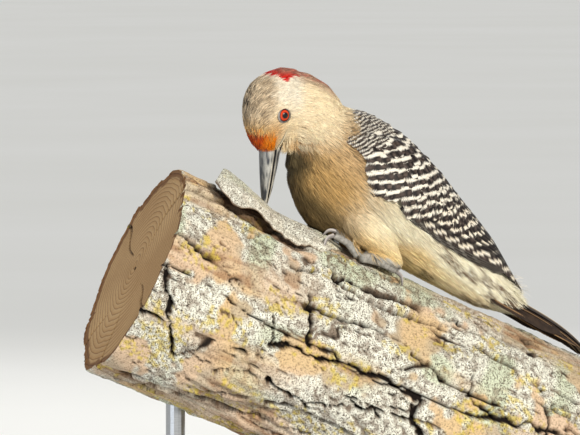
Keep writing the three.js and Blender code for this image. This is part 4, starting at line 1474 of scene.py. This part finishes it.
# ---------------------------------------------------------------- bill and eyes
BILL = np.array([  # toward the bill's tip, culmen height, gonys height, half width
    (14.5, 5.0, -5.2, 5.0), (17.6, 4.6, -5, 4.8), (22, 4.4, -4.8, 4.4), (30, 3.3, -3.9, 3.6),
    (36, 2.4, -3, 2.9), (42, 1.2, -1.8, 1.9), (45.5, 0.2, -0.8, 0.9),
], float)
COMMISSURE = -0.5
GAPE = 0.36  # half the gap that shows between the two halves
HORN_DARK, HORN_STREAK = srgb(46, 50, 58), srgb(176, 174, 166)
HORN_RIDGE, HORN_RIM, HORN_GAP_SHADE = srgb(70, 72, 76), srgb(214, 206, 188), srgb(24, 22, 24)


def bill_half(name, upper, material):
    """One half of the bill, closed round its section, with a ridge along its side."""
    rows, columns = 90, 44
    sign = 1 if upper else -1
    tip = BILL[-1, 0] - (0 if upper else 0.8)
    forward = np.linspace(BILL[0, 0], tip, rows)
    stations = BILL[:, 1 if upper else 2], BILL[:, 3]
    outer, width = (eased(np.interp(forward, BILL[:, 0], k), 10)[:, None] for k in stations)
    forward = forward[:, None]
    seam = COMMISSURE + sign * GAPE * np.clip((tip - forward) / 6, 0.15, 1)
    c, s = np.cos(round_turn(columns)), np.sin(round_turn(columns))
    across = np.sign(s) * np.abs(s) ** 0.85
    high = np.where(c > 0, np.abs(c) ** (1.05 if upper else 0.95), -0.10 * np.abs(c))
    ridge = np.exp(-(((np.abs(s) - 0.86) / 0.07) ** 2)) * (c > 0) * 0.35
    groove = np.exp(-(((np.abs(s) - 0.68) / 0.08) ** 2)) * (c > 0) * 0.22
    fade = np.clip((tip - forward) / 22, 0, 1) * (1 if upper else 0.4)
    left = width * across * (1 + fade * (0.12 * ridge - 0.25 * groove))
    up = seam + (outer - seam) * high * (1 + fade * (0.05 * ridge - 0.06 * groove))
    points = head_point(forward, up, left).reshape(-1, 3)
    streak = noise(np.stack([forward / 9 + 0 * up, up * 1.2, left * 1.2], -1), 0.6, 8)
    tint = mix(HORN_DARK, HORN_STREAK, step(-0.35, 0.55, streak))
    tint = mix(tint, HORN_RIDGE, 0.6 * step(0.6, 0.95, c))
    tint = mix(tint, HORN_RIM, 0.8 * np.exp(-((up - seam - sign * 0.35) / 0.3) ** 2))
    # Painted shade: the faces that look into the gap between the halves are near black.
    tint = mix(tint, HORN_GAP_SHADE, (c < 0.02) * 1.0)
    quads = grid_quads(rows, columns, closed=True)
    k = np.arange(1, columns - 1, 2)
    cap = np.stack([0 * k, k, k + 1, np.minimum(k + 2, columns - 1)], -1) + (rows - 1) * columns
    quads = np.concatenate([quads, cap])
    obj = make_mesh(name, points, quads, tint.reshape(-1, 3), None, [material])
    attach(obj, "root")
    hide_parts(name.replace("horn_", "") + "_bill")


def bill_material():
    m = Nodes("bill_horn")
    base = m.colours()
    fine = m.noise(1500, 4.0, 0.6)
    tone = m.shades(fine, 0.3, 0.82, 0.7, 1.08)
    m.bump(fine, 0.25, 0.0001)
    rough = m.plus(m.times(fine, 0.25), 0.25)
    return m.finish(m.tinted(base, tone), rough)


LID_OPENING = (2.85, 2.3)  # half the opening along the bill's direction, and across it
PUPIL, IRIS_EDGE = (0.002, 0.002, 0.003), (0.01, 0.006, 0.005)
IRIS = [(0.45, (110, 20, 6)), (0.58, (214, 66, 16)), (0.76, (206, 52, 14)), (0.86, (90, 14, 6))]


def eye_axes(side):
    """Centre, optical axis, and the two directions across it."""
    forward, crown, out = EYE_PLACE
    centre = head_point(np.array(forward), np.array(crown), np.array(out * side))
    axis = unit(side * TO_LEFT * 0.93 + TO_CROWN * 0.12 + TO_BILL * 0.02)
    fore = unit(TO_BILL - axis * (TO_BILL @ axis))
    return centre, axis, fore, np.cross(axis, fore)


def eye_material():
    """Black pupil, orange iris and a dark edge, by the distance from the middle."""
    m = Nodes("eye")
    radius = m.number("radius")
    streak = m.number("streak")
    r = m.plus(radius, m.times(streak, 0.14))
    iris = [(place, tuple(srgb(*colour))) for place, colour in IRIS]
    colour = m.ramp(m.math("DIVIDE", r, 3.0), [(0.0, PUPIL), (0.41, PUPIL), *iris, (0.92, IRIS_EDGE)])
    fine = m.noise(2600, 3.0)
    tone = m.shades(fine, 0.3, 0.75, 0.7, 1.1)
    m.set(Coat_Weight=0.6, Coat_Roughness=0.02, Specular_IOR_Level=0.15)
    return m.finish(m.tinted(colour, tone), 0.4)


GAPE_PATH = [(7.6, -2.0, 10.4), (9.5, -1.6, 9.8), (13, -1.2, 8.2), (16, -0.8, 5.9), (18.2, -0.5, 4.75)]
GAPE_UPPER, GAPE_LOWER, GAPE_SHADE_LINE = srgb(240, 226, 194), srgb(204, 182, 146), srgb(24, 20, 20)


def gape_line(side, count):
    """The line on one side where the bill's halves run back into the face."""
    forward, crown, left = np.array(GAPE_PATH).T
    return smooth_path(head_point(forward, crown, side * left), count)


def gape(surface, material):
    """Pale rims along the gape, with a dark line of painted shade between them in its crease."""
    for label, side in HEAD_SIDES:
        line = gape_line(side, 60)
        place, normal = surface.nearest(line)
        across = unit(np.cross(normal, unit(np.gradient(line, axis=0)))) * side
        t = np.linspace(0, 1, len(line))
        grow = (0.1 + 0.9 * step(0, 0.8, t))[:, None]
        base = mix(place + 0.22 * normal, line, step(12.5, 16.5, head_coordinates(line)[0]))
        rims = [
            (base + across * 0.50 * grow, 0.42, GAPE_UPPER),
            (base - across * 0.42 * grow, 0.32, GAPE_LOWER),
            # Painted shade: a dark tube in the gape's crease.
            (base + normal * 0.05 * grow, 0.24, GAPE_SHADE_LINE),
        ]
        tubes = []
        for centre, radius, colour in rims:
            p, quads = tube(centre, radius * grow[:, 0] * (1 - 0.8 * step(0.9, 1, t)), 10)
            tubes.append((p, quads, mix(colour, colour * 0.7, 0.5 + 0.5 * noise(p, 0.7, 31))))
        obj = make_mesh(f"gape_{label}", *joined(tubes), None, [material])
        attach(obj, "root")


def tube(line, radius, columns):
    """A round tube along a line."""
    tangent = unit(np.gradient(line, axis=0))
    side = unit(np.cross(tangent, np.array([0.3, 0.2, 0.93])))
    up = np.cross(side, tangent)
    around = round_turn(columns)[None, :, None]
    ring = np.cos(around) * side[:, None] + np.sin(around) * up[:, None]
    points = line[:, None] + ring * radius[:, None, None]
    return points.reshape(-1, 3), grid_quads(len(line), columns, closed=True)


def gape_distance(p):
    """Distance from the gape's lines, on either side."""
    best = np.full(p.shape[:-1], 99.0)
    for q in np.concatenate([gape_line(1, 16), gape_line(-1, 16)]):
        best = np.minimum(best, np.linalg.norm(p - q, axis=-1))
    return best


def cap_points(centre, axis, fore, cross, radius, tilt, around):
    """Places on a cap round the axis, at angles from it and round it."""
    rim = np.cos(around)[..., None] * fore + np.sin(around)[..., None] * cross
    return centre + radius[..., None] * (np.cos(tilt)[..., None] * axis + np.sin(tilt)[..., None] * rim)


def eyes(eye_mat, lid_mat):
    rows, columns = 40, 64
    tilt = np.linspace(0.0, 2.2, rows)
    radius = np.sin(np.minimum(tilt, 1.57)) * EYE_RADIUS
    bulge = 0.25 * np.exp(-((tilt / 0.55) ** 2))
    around = round_turn(columns)
    for label, side in HEAD_SIDES:
        axes = eye_axes(side)
        points = cap_points(*axes, (EYE_RADIUS - 0.05 + bulge)[:, None], tilt[:, None], around[None])
        quads = grid_quads(rows, columns, closed=True)
        obj = make_mesh(f"eyeball_{label}", points.reshape(-1, 3), quads, None, None, [eye_mat])
        float_layer(obj, "radius", np.repeat(radius, columns))
        float_layer(obj, "streak", np.tile(noise(np.outer(around * 9, [1, 0, 0]), 1.0, 3), rows))
        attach(obj, "root")
        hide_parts(f"eye_{label}")
        lid(label, axes, lid_mat)


LID_GREY, LID_PALE = srgb(120, 114, 112), srgb(214, 208, 198)
LID_EDGE, LID_HIGHLIGHT = srgb(20, 16, 18), srgb(244, 242, 238)


def lid(label, axes, material):
    """The bare wrinkled rim round the eye, with a painted highlight toward the crown."""
    rows, columns = 16, 120
    share = np.linspace(0, 1, rows)[:, None]
    around = round_turn(columns)[None]
    c, s = np.cos(around), np.sin(around)
    opening = 1 / np.sqrt((c / LID_OPENING[0]) ** 2 + (s / LID_OPENING[1]) ** 2)
    bead = 0.05 * noise(flat(*np.broadcast_arrays(around * 12, share * 3)), 1.0, 9)
    tilt = np.arcsin(np.clip((opening + share * 1.5) / (EYE_RADIUS + 0.2), 0, 0.999))
    rise = 0.12 + 0.42 * np.sin(math.pi * np.clip(share * 1.25, 0, 1)) ** 0.7 - 0.75 * share**2
    points = cap_points(*axes, EYE_RADIUS + rise + bead, tilt, around)
    pale = 0.5 + 0.5 * noise(points, 0.8, 12)
    tint = mix(LID_GREY, LID_PALE, step(0.15, 0.5, share) * pale)
    tint = mix(tint, LID_EDGE, 1 - step(0.03, 0.14, share))
    # Painted highlight: a white spot on the lid toward the crown.
    toward = -0.85 * c + 0.53 * s * np.sign(axes[3] @ TO_CROWN)
    tint = mix(tint, LID_HIGHLIGHT, step(0.35, 0.55, share) * step(0.90, 0.97, toward))
    quads = grid_quads(rows, columns, closed=True)
    obj = make_mesh(f"lid_{label}", points.reshape(-1, 3), quads, tint.reshape(-1, 3), None, [material])
    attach(obj, "root")


# ---------------------------------------------------------------- tail
TAIL_RIDGE = np.array([(90, 42.2), (97, 43.4), (110, 46.6), (125, 50), (140, 51.8), (155, 50)], float)
TAIL_SHORTER = (0, 2, 6, 13, 23)  # by how much each pair is shorter than the longest
TAIL_FROM, TAIL_TO = 90.0, 156.5
TAIL_HALF_WIDTH = 4.8
TAIL_INSET, TAIL_STEP, TAIL_DROP = 2.6, 1.9, 1.0
TAIL_ROLL, TAIL_ROLL_STEP = 12, 8
TAIL_BLACK, TAIL_BROWN = srgb(38, 31, 28), srgb(70, 56, 45)
TAIL_SHAFT, TAIL_EDGE = srgb(214, 188, 150), srgb(206, 164, 118)


def tail_ridge(along):
    """Height of the tail's ridge, smooth through its stations."""
    coefficients = np.polyfit(TAIL_RIDGE[:, 0], TAIL_RIDGE[:, 1], 4)
    return np.polyval(coefficients, along)


def tail_feather(pair, side):
    """One stiff feather: rows of barbs either side of a strong shaft, worn to a point."""
    end = TAIL_TO - TAIL_SHORTER[pair]
    rows = int((end - TAIL_FROM) / 0.5)
    along = np.linspace(TAIL_FROM, end, rows)[:, None]
    t = (along - TAIL_FROM) / (end - TAIL_FROM)
    v = VANE_COLUMNS
    half = TAIL_HALF_WIDTH * np.clip(t / 0.12 + 0.3, 0, 1) * (1 - np.clip((t - 0.62) / 0.38, 0, 1) ** 1.7)
    half = np.maximum(half, 0.12)
    ragged = 1 + 0.06 * RNG.uniform(-1, 1, rows)[:, None] * (np.abs(v) > 0.9) * step(0.5, 0.9, t)
    a = along + np.minimum(0.9 * half * np.abs(v), 0.9 * (end + 1 - along).clip(0.05))
    height = tail_ridge(a) - TAIL_DROP * pair - 0.35 * (side > 0) - 0.35
    roll = math.radians(TAIL_ROLL + TAIL_ROLL_STEP * pair)
    across = v * half * ragged
    middle = side * (TAIL_INSET + TAIL_STEP * pair * (0.4 + 0.6 * t))
    lateral = middle + side * across * math.cos(roll)
    drop = across * math.sin(roll) + 0.10 * across**2 / half.max()
    relief = 0.05 * up_and_down(rows) * (np.abs(v) > 0.2)
    shaft = 0.30 * (np.abs(v) < 0.2) * (1 - 0.6 * t)
    up = height - drop + relief + shaft
    points = a[..., None] * BODY_ALONG + up[..., None] * BODY_UP + lateral[..., None] * ACROSS
    tint = mix(TAIL_BLACK, TAIL_BROWN, 0.5 + 0.5 * noise(points, 1.1, 61))
    tint = mix(tint, TAIL_SHAFT, 0.8 * (1 - step(0.05, 0.25, np.abs(v))) * (pair < 3))
    tint = mix(tint, TAIL_EDGE, 0.7 * step(0.86, 0.98, v) * (pair % 2))
    points = points.reshape(-1, 3)
    return points, grid_quads(rows, len(v)), tint.reshape(-1, 3), bake_place(points)


def tail(material):
    feathers = [tail_feather(pair, side) for pair in range(len(TAIL_SHORTER)) for side in (LEFT, RIGHT)]
    obj = make_mesh("tail_feathers", *joined(feathers), [material])
    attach(obj, "root")
    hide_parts("tail")


# ---------------------------------------------------------------- claws
FOOT = np.array([27.4, 22.0, -18.0])
RIGHT_FOOT_AHEAD = 3.0
CLAW_PATHS = {  # forward up the limb, outward from the bird, up from the bark
    "1": [(-8.9, -7.2, 2.4), (-11.4, -8.6, 2), (-12.6, -9.6, -1)],
    "2": [(12.1, -10, 7.4), (16.2, -10.2, 5.8), (18, -10.4, 1)],
    "3": [(15.4, -1, 4.2), (18.3, 1.2, 1.2), (18.3, 5, -7.3)],
    "4": [(-19.6, -3.6, 1.8), (-22.6, -1, 0.2), (-24, 3, -5)],
}
CLAW_RADII = (1.15, 0.85, 0.12)
CLAW_GREY, CLAW_PALE, CLAW_TIP = srgb(128, 122, 118), srgb(214, 206, 198), srgb(62, 56, 56)


def foot_point(path, side):
    path = np.asarray(path, float)
    ahead = path[:, :1] + (RIGHT_FOOT_AHEAD if side > 0 else 0)
    base = FOOT * np.array([1, side, 1])
    return base - ahead * LIMB_ALONG + path[:, 2:] * LIMB_UP + side * path[:, 1:2] * ACROSS


def smooth_path(points, count):
    """A Catmull-Rom curve through the points."""
    p = np.asarray(points, float)
    p = np.concatenate([[2 * p[0] - p[1]], p, [2 * p[-1] - p[-2]]])
    u = np.linspace(0, len(p) - 3, count)
    k = np.minimum(u.astype(int), len(p) - 4)
    f = (u - k)[:, None]
    a, b, c, d = p[k], p[k + 1], p[k + 2], p[k + 3]
    return 0.5 * (2 * b + (c - a) * f + (2 * a - 5 * b + 4 * c - d) * f**2 + (3 * b - a - 3 * c + d) * f**3)


def claw(path, side):
    """A curved horn, deeper than wide, with a flat groove beneath."""
    rows, columns = 28, 18
    line = smooth_path(foot_point(path, side), rows)
    t = np.linspace(0, 1, rows)
    radius = np.interp(t, [0, 0.5, 1], CLAW_RADII) * (1 - 0.1 * t)
    tangent = unit(np.gradient(line, axis=0))
    bend = unit(np.cross(tangent[0], tangent[-1]))
    up = unit(np.cross(tangent, bend))
    c, s = np.cos(round_turn(columns)), np.sin(round_turn(columns))
    deep = np.where(c < 0, -0.8 * np.abs(c) ** 0.7, c)
    offset = deep[None, :, None] * up[:, None] * 1.1 + s[None, :, None] * bend * 0.72
    points = line[:, None] + radius[:, None, None] * offset
    tint = mix(CLAW_GREY, CLAW_PALE, step(-0.2, 0.9, c)[None] * 0.7)
    tint = mix(tint, CLAW_TIP, step(0.5, 1.0, t)[:, None] * 0.75)
    return points.reshape(-1, 3), grid_quads(rows, columns, closed=True), tint.reshape(-1, 3)


def claws(material):
    for label, side in SIDES:
        horns = joined([claw(path, side) for path in CLAW_PATHS.values()])
        obj = make_mesh(f"claws_{label}", *horns, None, [material])
        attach(obj, "root")
        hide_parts(*[f"claw_{label}_{n}" for n in CLAW_PATHS])


# ---------------------------------------------------------------- tufts round the bill
ORANGE = srgb(244, 140, 20)
TUFT_SHADE_RED = srgb(204, 62, 22)
ORANGE_PALE = srgb(238, 166, 70)
TUFT_BUFF = srgb(236, 192, 122)
CHIN_PALE = srgb(246, 226, 186)
CHIN_STREAK = srgb(206, 158, 92)


def scatter_on_head(surface, number, forward, crown, left):
    """Random places on the head's surface, near a box in the head's coordinates."""
    guess = head_point(*(RNG.uniform(low, high, number) for low, high in (forward, crown, left)))
    return surface.nearest(guess)


def tufts(name, material, *strands):
    obj = make_mesh(name, *bristles(*strands), [material])
    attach(obj, "root")


def nasal_tufts(surface, material):
    """Bristly orange feathers that lie forward over the base of the bill."""
    number = 5200
    place, normal = scatter_on_head(surface, number, (4.0, 16.8), (1.0, 10.5), (-8.5, 8.5))
    forward, crown, left = head_coordinates(place)
    low = np.interp(forward, [5, 8, 12, 17], [6.5, 4.6, 2.6, 1.2])
    edge = step(6.0, 13.5, forward + 2.6 * noise(place, 2.2, 51))
    edge = edge * step(-0.4, 1.0, crown - low + 0.7 * noise(place, 1.2, 52))
    keep = (RNG.random(number) < edge) & (forward < 17.5)
    place, normal, forward, crown, left = (x[keep] for x in (place, normal, forward, crown, left))
    n = len(place)
    heading = TO_BILL + 0.10 * RNG.standard_normal((n, 3)) - 0.10 * TO_CROWN
    patchy = noise(place, 2.3, 53)
    # Painted shade: toward the crown and on the far side, where the head shades them, the tufts turn
    # red-orange and get more dark flecks.
    red = 0.9 * step(3.0, 10.5, crown + 4.2 * patchy - 0.35 * left) * step(8, 12, forward)
    colour = mix(ORANGE, TUFT_SHADE_RED, red)
    colour = mix(colour, ORANGE_PALE, 0.8 * step(0.1, 0.5, noise(place, 1.9, 56)) * (1 - red))
    colour = mix(colour, TUFT_BUFF, step(12.5, 8.5, forward + 2.2 * noise(place, 1.4, 54)) * 0.9)
    colour = mix(colour, DARK, (RNG.random(n) < 0.06 + 0.2 * red) * 0.8)
    colour = colour * RNG.uniform(0.75, 1.2, n)[:, None]
    length = RNG.uniform(1.8, 3.8, n) * step(6, 12, forward).clip(0.5)
    length = length + RNG.uniform(0, 2.4, n) ** 1.5 * 0.6 * step(12, 16, forward)
    width, lift = RNG.uniform(0.10, 0.20, n), RNG.uniform(0.15, 0.6, n)
    heading = along_surface(heading, normal)
    tufts("nasal_bristles", material, place, normal, heading, length, width, lift, colour)


def chin_tufts(surface, material):
    """Bushy pale feathers under the base of the bill."""
    number = 4200
    place, normal = scatter_on_head(surface, number, (5, 15), (-8.5, -2.4), (-8.5, 8.5))
    forward, crown, left = head_coordinates(place)
    keep = (crown < -2.6 - 0.30 * np.maximum(13 - forward, 0)) & (forward > 5.5)
    keep = keep & (gape_distance(place) > 0.9)
    place, normal, forward, crown = (x[keep] for x in (place, normal, forward, crown))
    n = len(place)
    down = RNG.uniform(0.0, 0.75, n)[:, None] * step(-2.5, -5.5, crown)[:, None]
    heading = unit(TO_BILL - down * TO_CROWN + 0.14 * RNG.standard_normal((n, 3)) + 0.12 * normal)
    streak = step(0.05, 0.45, noise(place * np.array([1, 1, 0.4]), 1.3, 57))
    colour = mix(CHIN_PALE, CHIN_STREAK, 0.6 * streak)
    colour = colour * RNG.uniform(0.9, 1.12, n)[:, None]
    length = RNG.uniform(2.0, 4.0, n) * (0.7 + 0.6 * step(9, 14, forward))
    width, lift = RNG.uniform(0.09, 0.18, n), RNG.uniform(0.1, 0.5, n)
    tufts("chin_tufts", material, place, normal, heading, length, width, lift, colour)


# ---------------------------------------------------------------- stage
def link(name, data):
    obj = bpy.data.objects.new(name, data)
    bpy.context.scene.collection.objects.link(obj)
    return obj


def camera():
    az, el = CAMERA_AZIMUTH, CAMERA_ELEVATION
    back = Vector((math.sin(az) * math.cos(el), -math.cos(az) * math.cos(el), math.sin(el)))
    right = Vector((math.cos(az), math.sin(az), 0))
    axes = Matrix((right, back.cross(right), back)).transposed().to_4x4()
    data = bpy.data.cameras.new("camera")
    data.lens = LENS
    data.sensor_width = 36
    data.clip_start = 0.1
    data.clip_end = 30
    obj = link("camera", data)
    obj.matrix_world = Matrix.Translation(Vector(AIM) + back * CAMERA_DISTANCE) @ axes
    bpy.context.scene.camera = obj


def area_light(name, place, target, size, power, colour):
    data = bpy.data.lights.new(name, "AREA")
    data.shape = "DISK"
    data.size = size
    data.energy = power
    data.color = colour
    obj = link(name, data)
    obj.location = place
    obj.rotation_euler = (Vector(target) - Vector(place)).to_track_quat("-Z", "Y").to_euler()


def sun(name, direction, strength, spread, colour):
    """Light that falls the same way everywhere, soft by its spread."""
    data = bpy.data.lights.new(name, "SUN")
    data.energy = strength
    data.angle = math.radians(spread)
    data.color = colour
    link(name, data).rotation_euler = Vector(direction).to_track_quat("Z", "Y").to_euler()


FLOOR_HALF = 40.0
FLOOR_LINES = 9


def stage():
    """A pale floor that fills the view from every side, and soft studio lights."""
    side = np.linspace(-FLOOR_HALF, FLOOR_HALF, FLOOR_LINES)
    points = flat(*np.meshgrid(side, side, indexing="ij")).reshape(-1, 3)
    quads = grid_quads(FLOOR_LINES, FLOOR_LINES)[:, [0, 3, 2, 1]]
    m = Nodes("stage_paper")
    material = m.finish(m.painted(m.noise(1.5), [(0.3, (240, 240, 237)), (0.7, (244, 244, 242))]), 0.9)
    make_mesh("stage_floor", points, quads, materials=[material], world=True)
    target = (0.02, 0, 0.2)
    sun("key", (0.43, -2.0, 0.84), 3.15, 10, (1.0, 0.95, 0.87))
    area_light("fill", (-1.7, -1.0, 0.45), target, 1.4, 13, (0.86, 0.92, 1.0))
    area_light("rim", (0.4, 1.6, 1.2), target, 1.0, 8, (1.0, 0.98, 0.95))
    world = bpy.data.worlds.new("world")
    world.use_nodes = True
    background = world.node_tree.nodes["Background"].inputs
    background["Color"].default_value = (0.9, 0.95, 1.0, 1)
    background["Strength"].default_value = 0.38
    bpy.context.scene.world = world
    bpy.context.scene.view_settings.view_transform = "Standard"


# ---------------------------------------------------------------- stand
def wood_material():
    """Dark stained board with a long grain."""
    m = Nodes("stained_wood")
    drawn = m.drawn_out((0.06, 1.0, 1.0))
    bend = m.noise(14, 2.0)
    grain = m.noise(420, 5.0, 0.65, drawn)
    rings = m.math("FRACT", m.plus(m.times(m.noise(60, 2.0, 0.5, drawn), 6.0), bend))
    figure = m.plus(m.times(rings, 0.4), m.times(grain, 0.6))
    colour = m.painted(figure, [(0.2, (38, 24, 16)), (0.5, (78, 50, 32)), (0.8, (104, 70, 46))])
    m.bump(grain, 0.25, 0.0002)
    m.set(Coat_Weight=0.35, Coat_Roughness=0.25)
    return m.finish(colour, m.plus(m.times(grain, 0.2), 0.35))


def steel_material():
    """Brushed rods: fine turning marks round the upright axis."""
    m = Nodes("brushed_steel")
    brush = m.noise(7000, 2.0, 0.5, m.drawn_out((0.05, 0.05, 1.0)))
    colour = m.painted(brush, [(0.3, (168, 170, 172)), (0.7, (188, 190, 192))])
    m.set(Metallic=1.0)
    m.bump(brush, 0.12, 0.00004)
    return m.finish(colour, m.plus(m.times(brush, 0.1), 0.28))


def stand(frame):
    """Materials for the stand, whose solids show as they are."""
    wood, steel = wood_material(), steel_material()
    for name, node in frame["nodes"].items():
        if name.startswith("stand_"):
            node.data.materials.clear()
            node.data.materials.append(wood if name == "stand_base" else steel)


# Painted shade: the skin under the strands is darkened, for the shade in the gaps between them.
SKIN_SHADE = 0.7  # the skin is darker than the strands over it


def plumage_coat(frame):
    """The skin with its strands and tufts, and the material of the strands."""
    Feet.tree = solids_tree(frame, BARE)
    inner = sink_skin(Surface(*build_skin(frame)))
    skin_material = plumage_material("skin", 0.8, 1800, 0.4)
    # The skin's colours, darkened as painted shade.
    colours = plumage(inner.points) * SKIN_SHADE
    skin = make_mesh("skin", inner.points, inner.tri, colours, None, [skin_material])
    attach(skin, "root")
    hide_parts(*FLESH)
    coat_material = plumage_material("coat", 0.6, 3200, 0.2)
    for region in STRAND_REGIONS:
        strand_coat(inner, coat_material, *region)
    nasal_tufts(inner, coat_material)
    chin_tufts(inner, coat_material)
    return inner, coat_material


def main():
    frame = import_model()
    camera()
    stage()
    skin, coat_material = plumage_coat(frame)
    vane_material = plumage_material("vane", 0.5, 2600, 0.15)
    filaments(wings(frame, vane_material), coat_material)
    tail(vane_material)
    horn = bill_material()
    bill_half("horn_upper", True, horn)
    bill_half("horn_lower", False, horn)
    gape(skin, horn)
    eyes(eye_material(), plumage_material("lid", 0.5, 2500, 0.4))
    claws(horn)
    perch()
    stand(frame)


main()
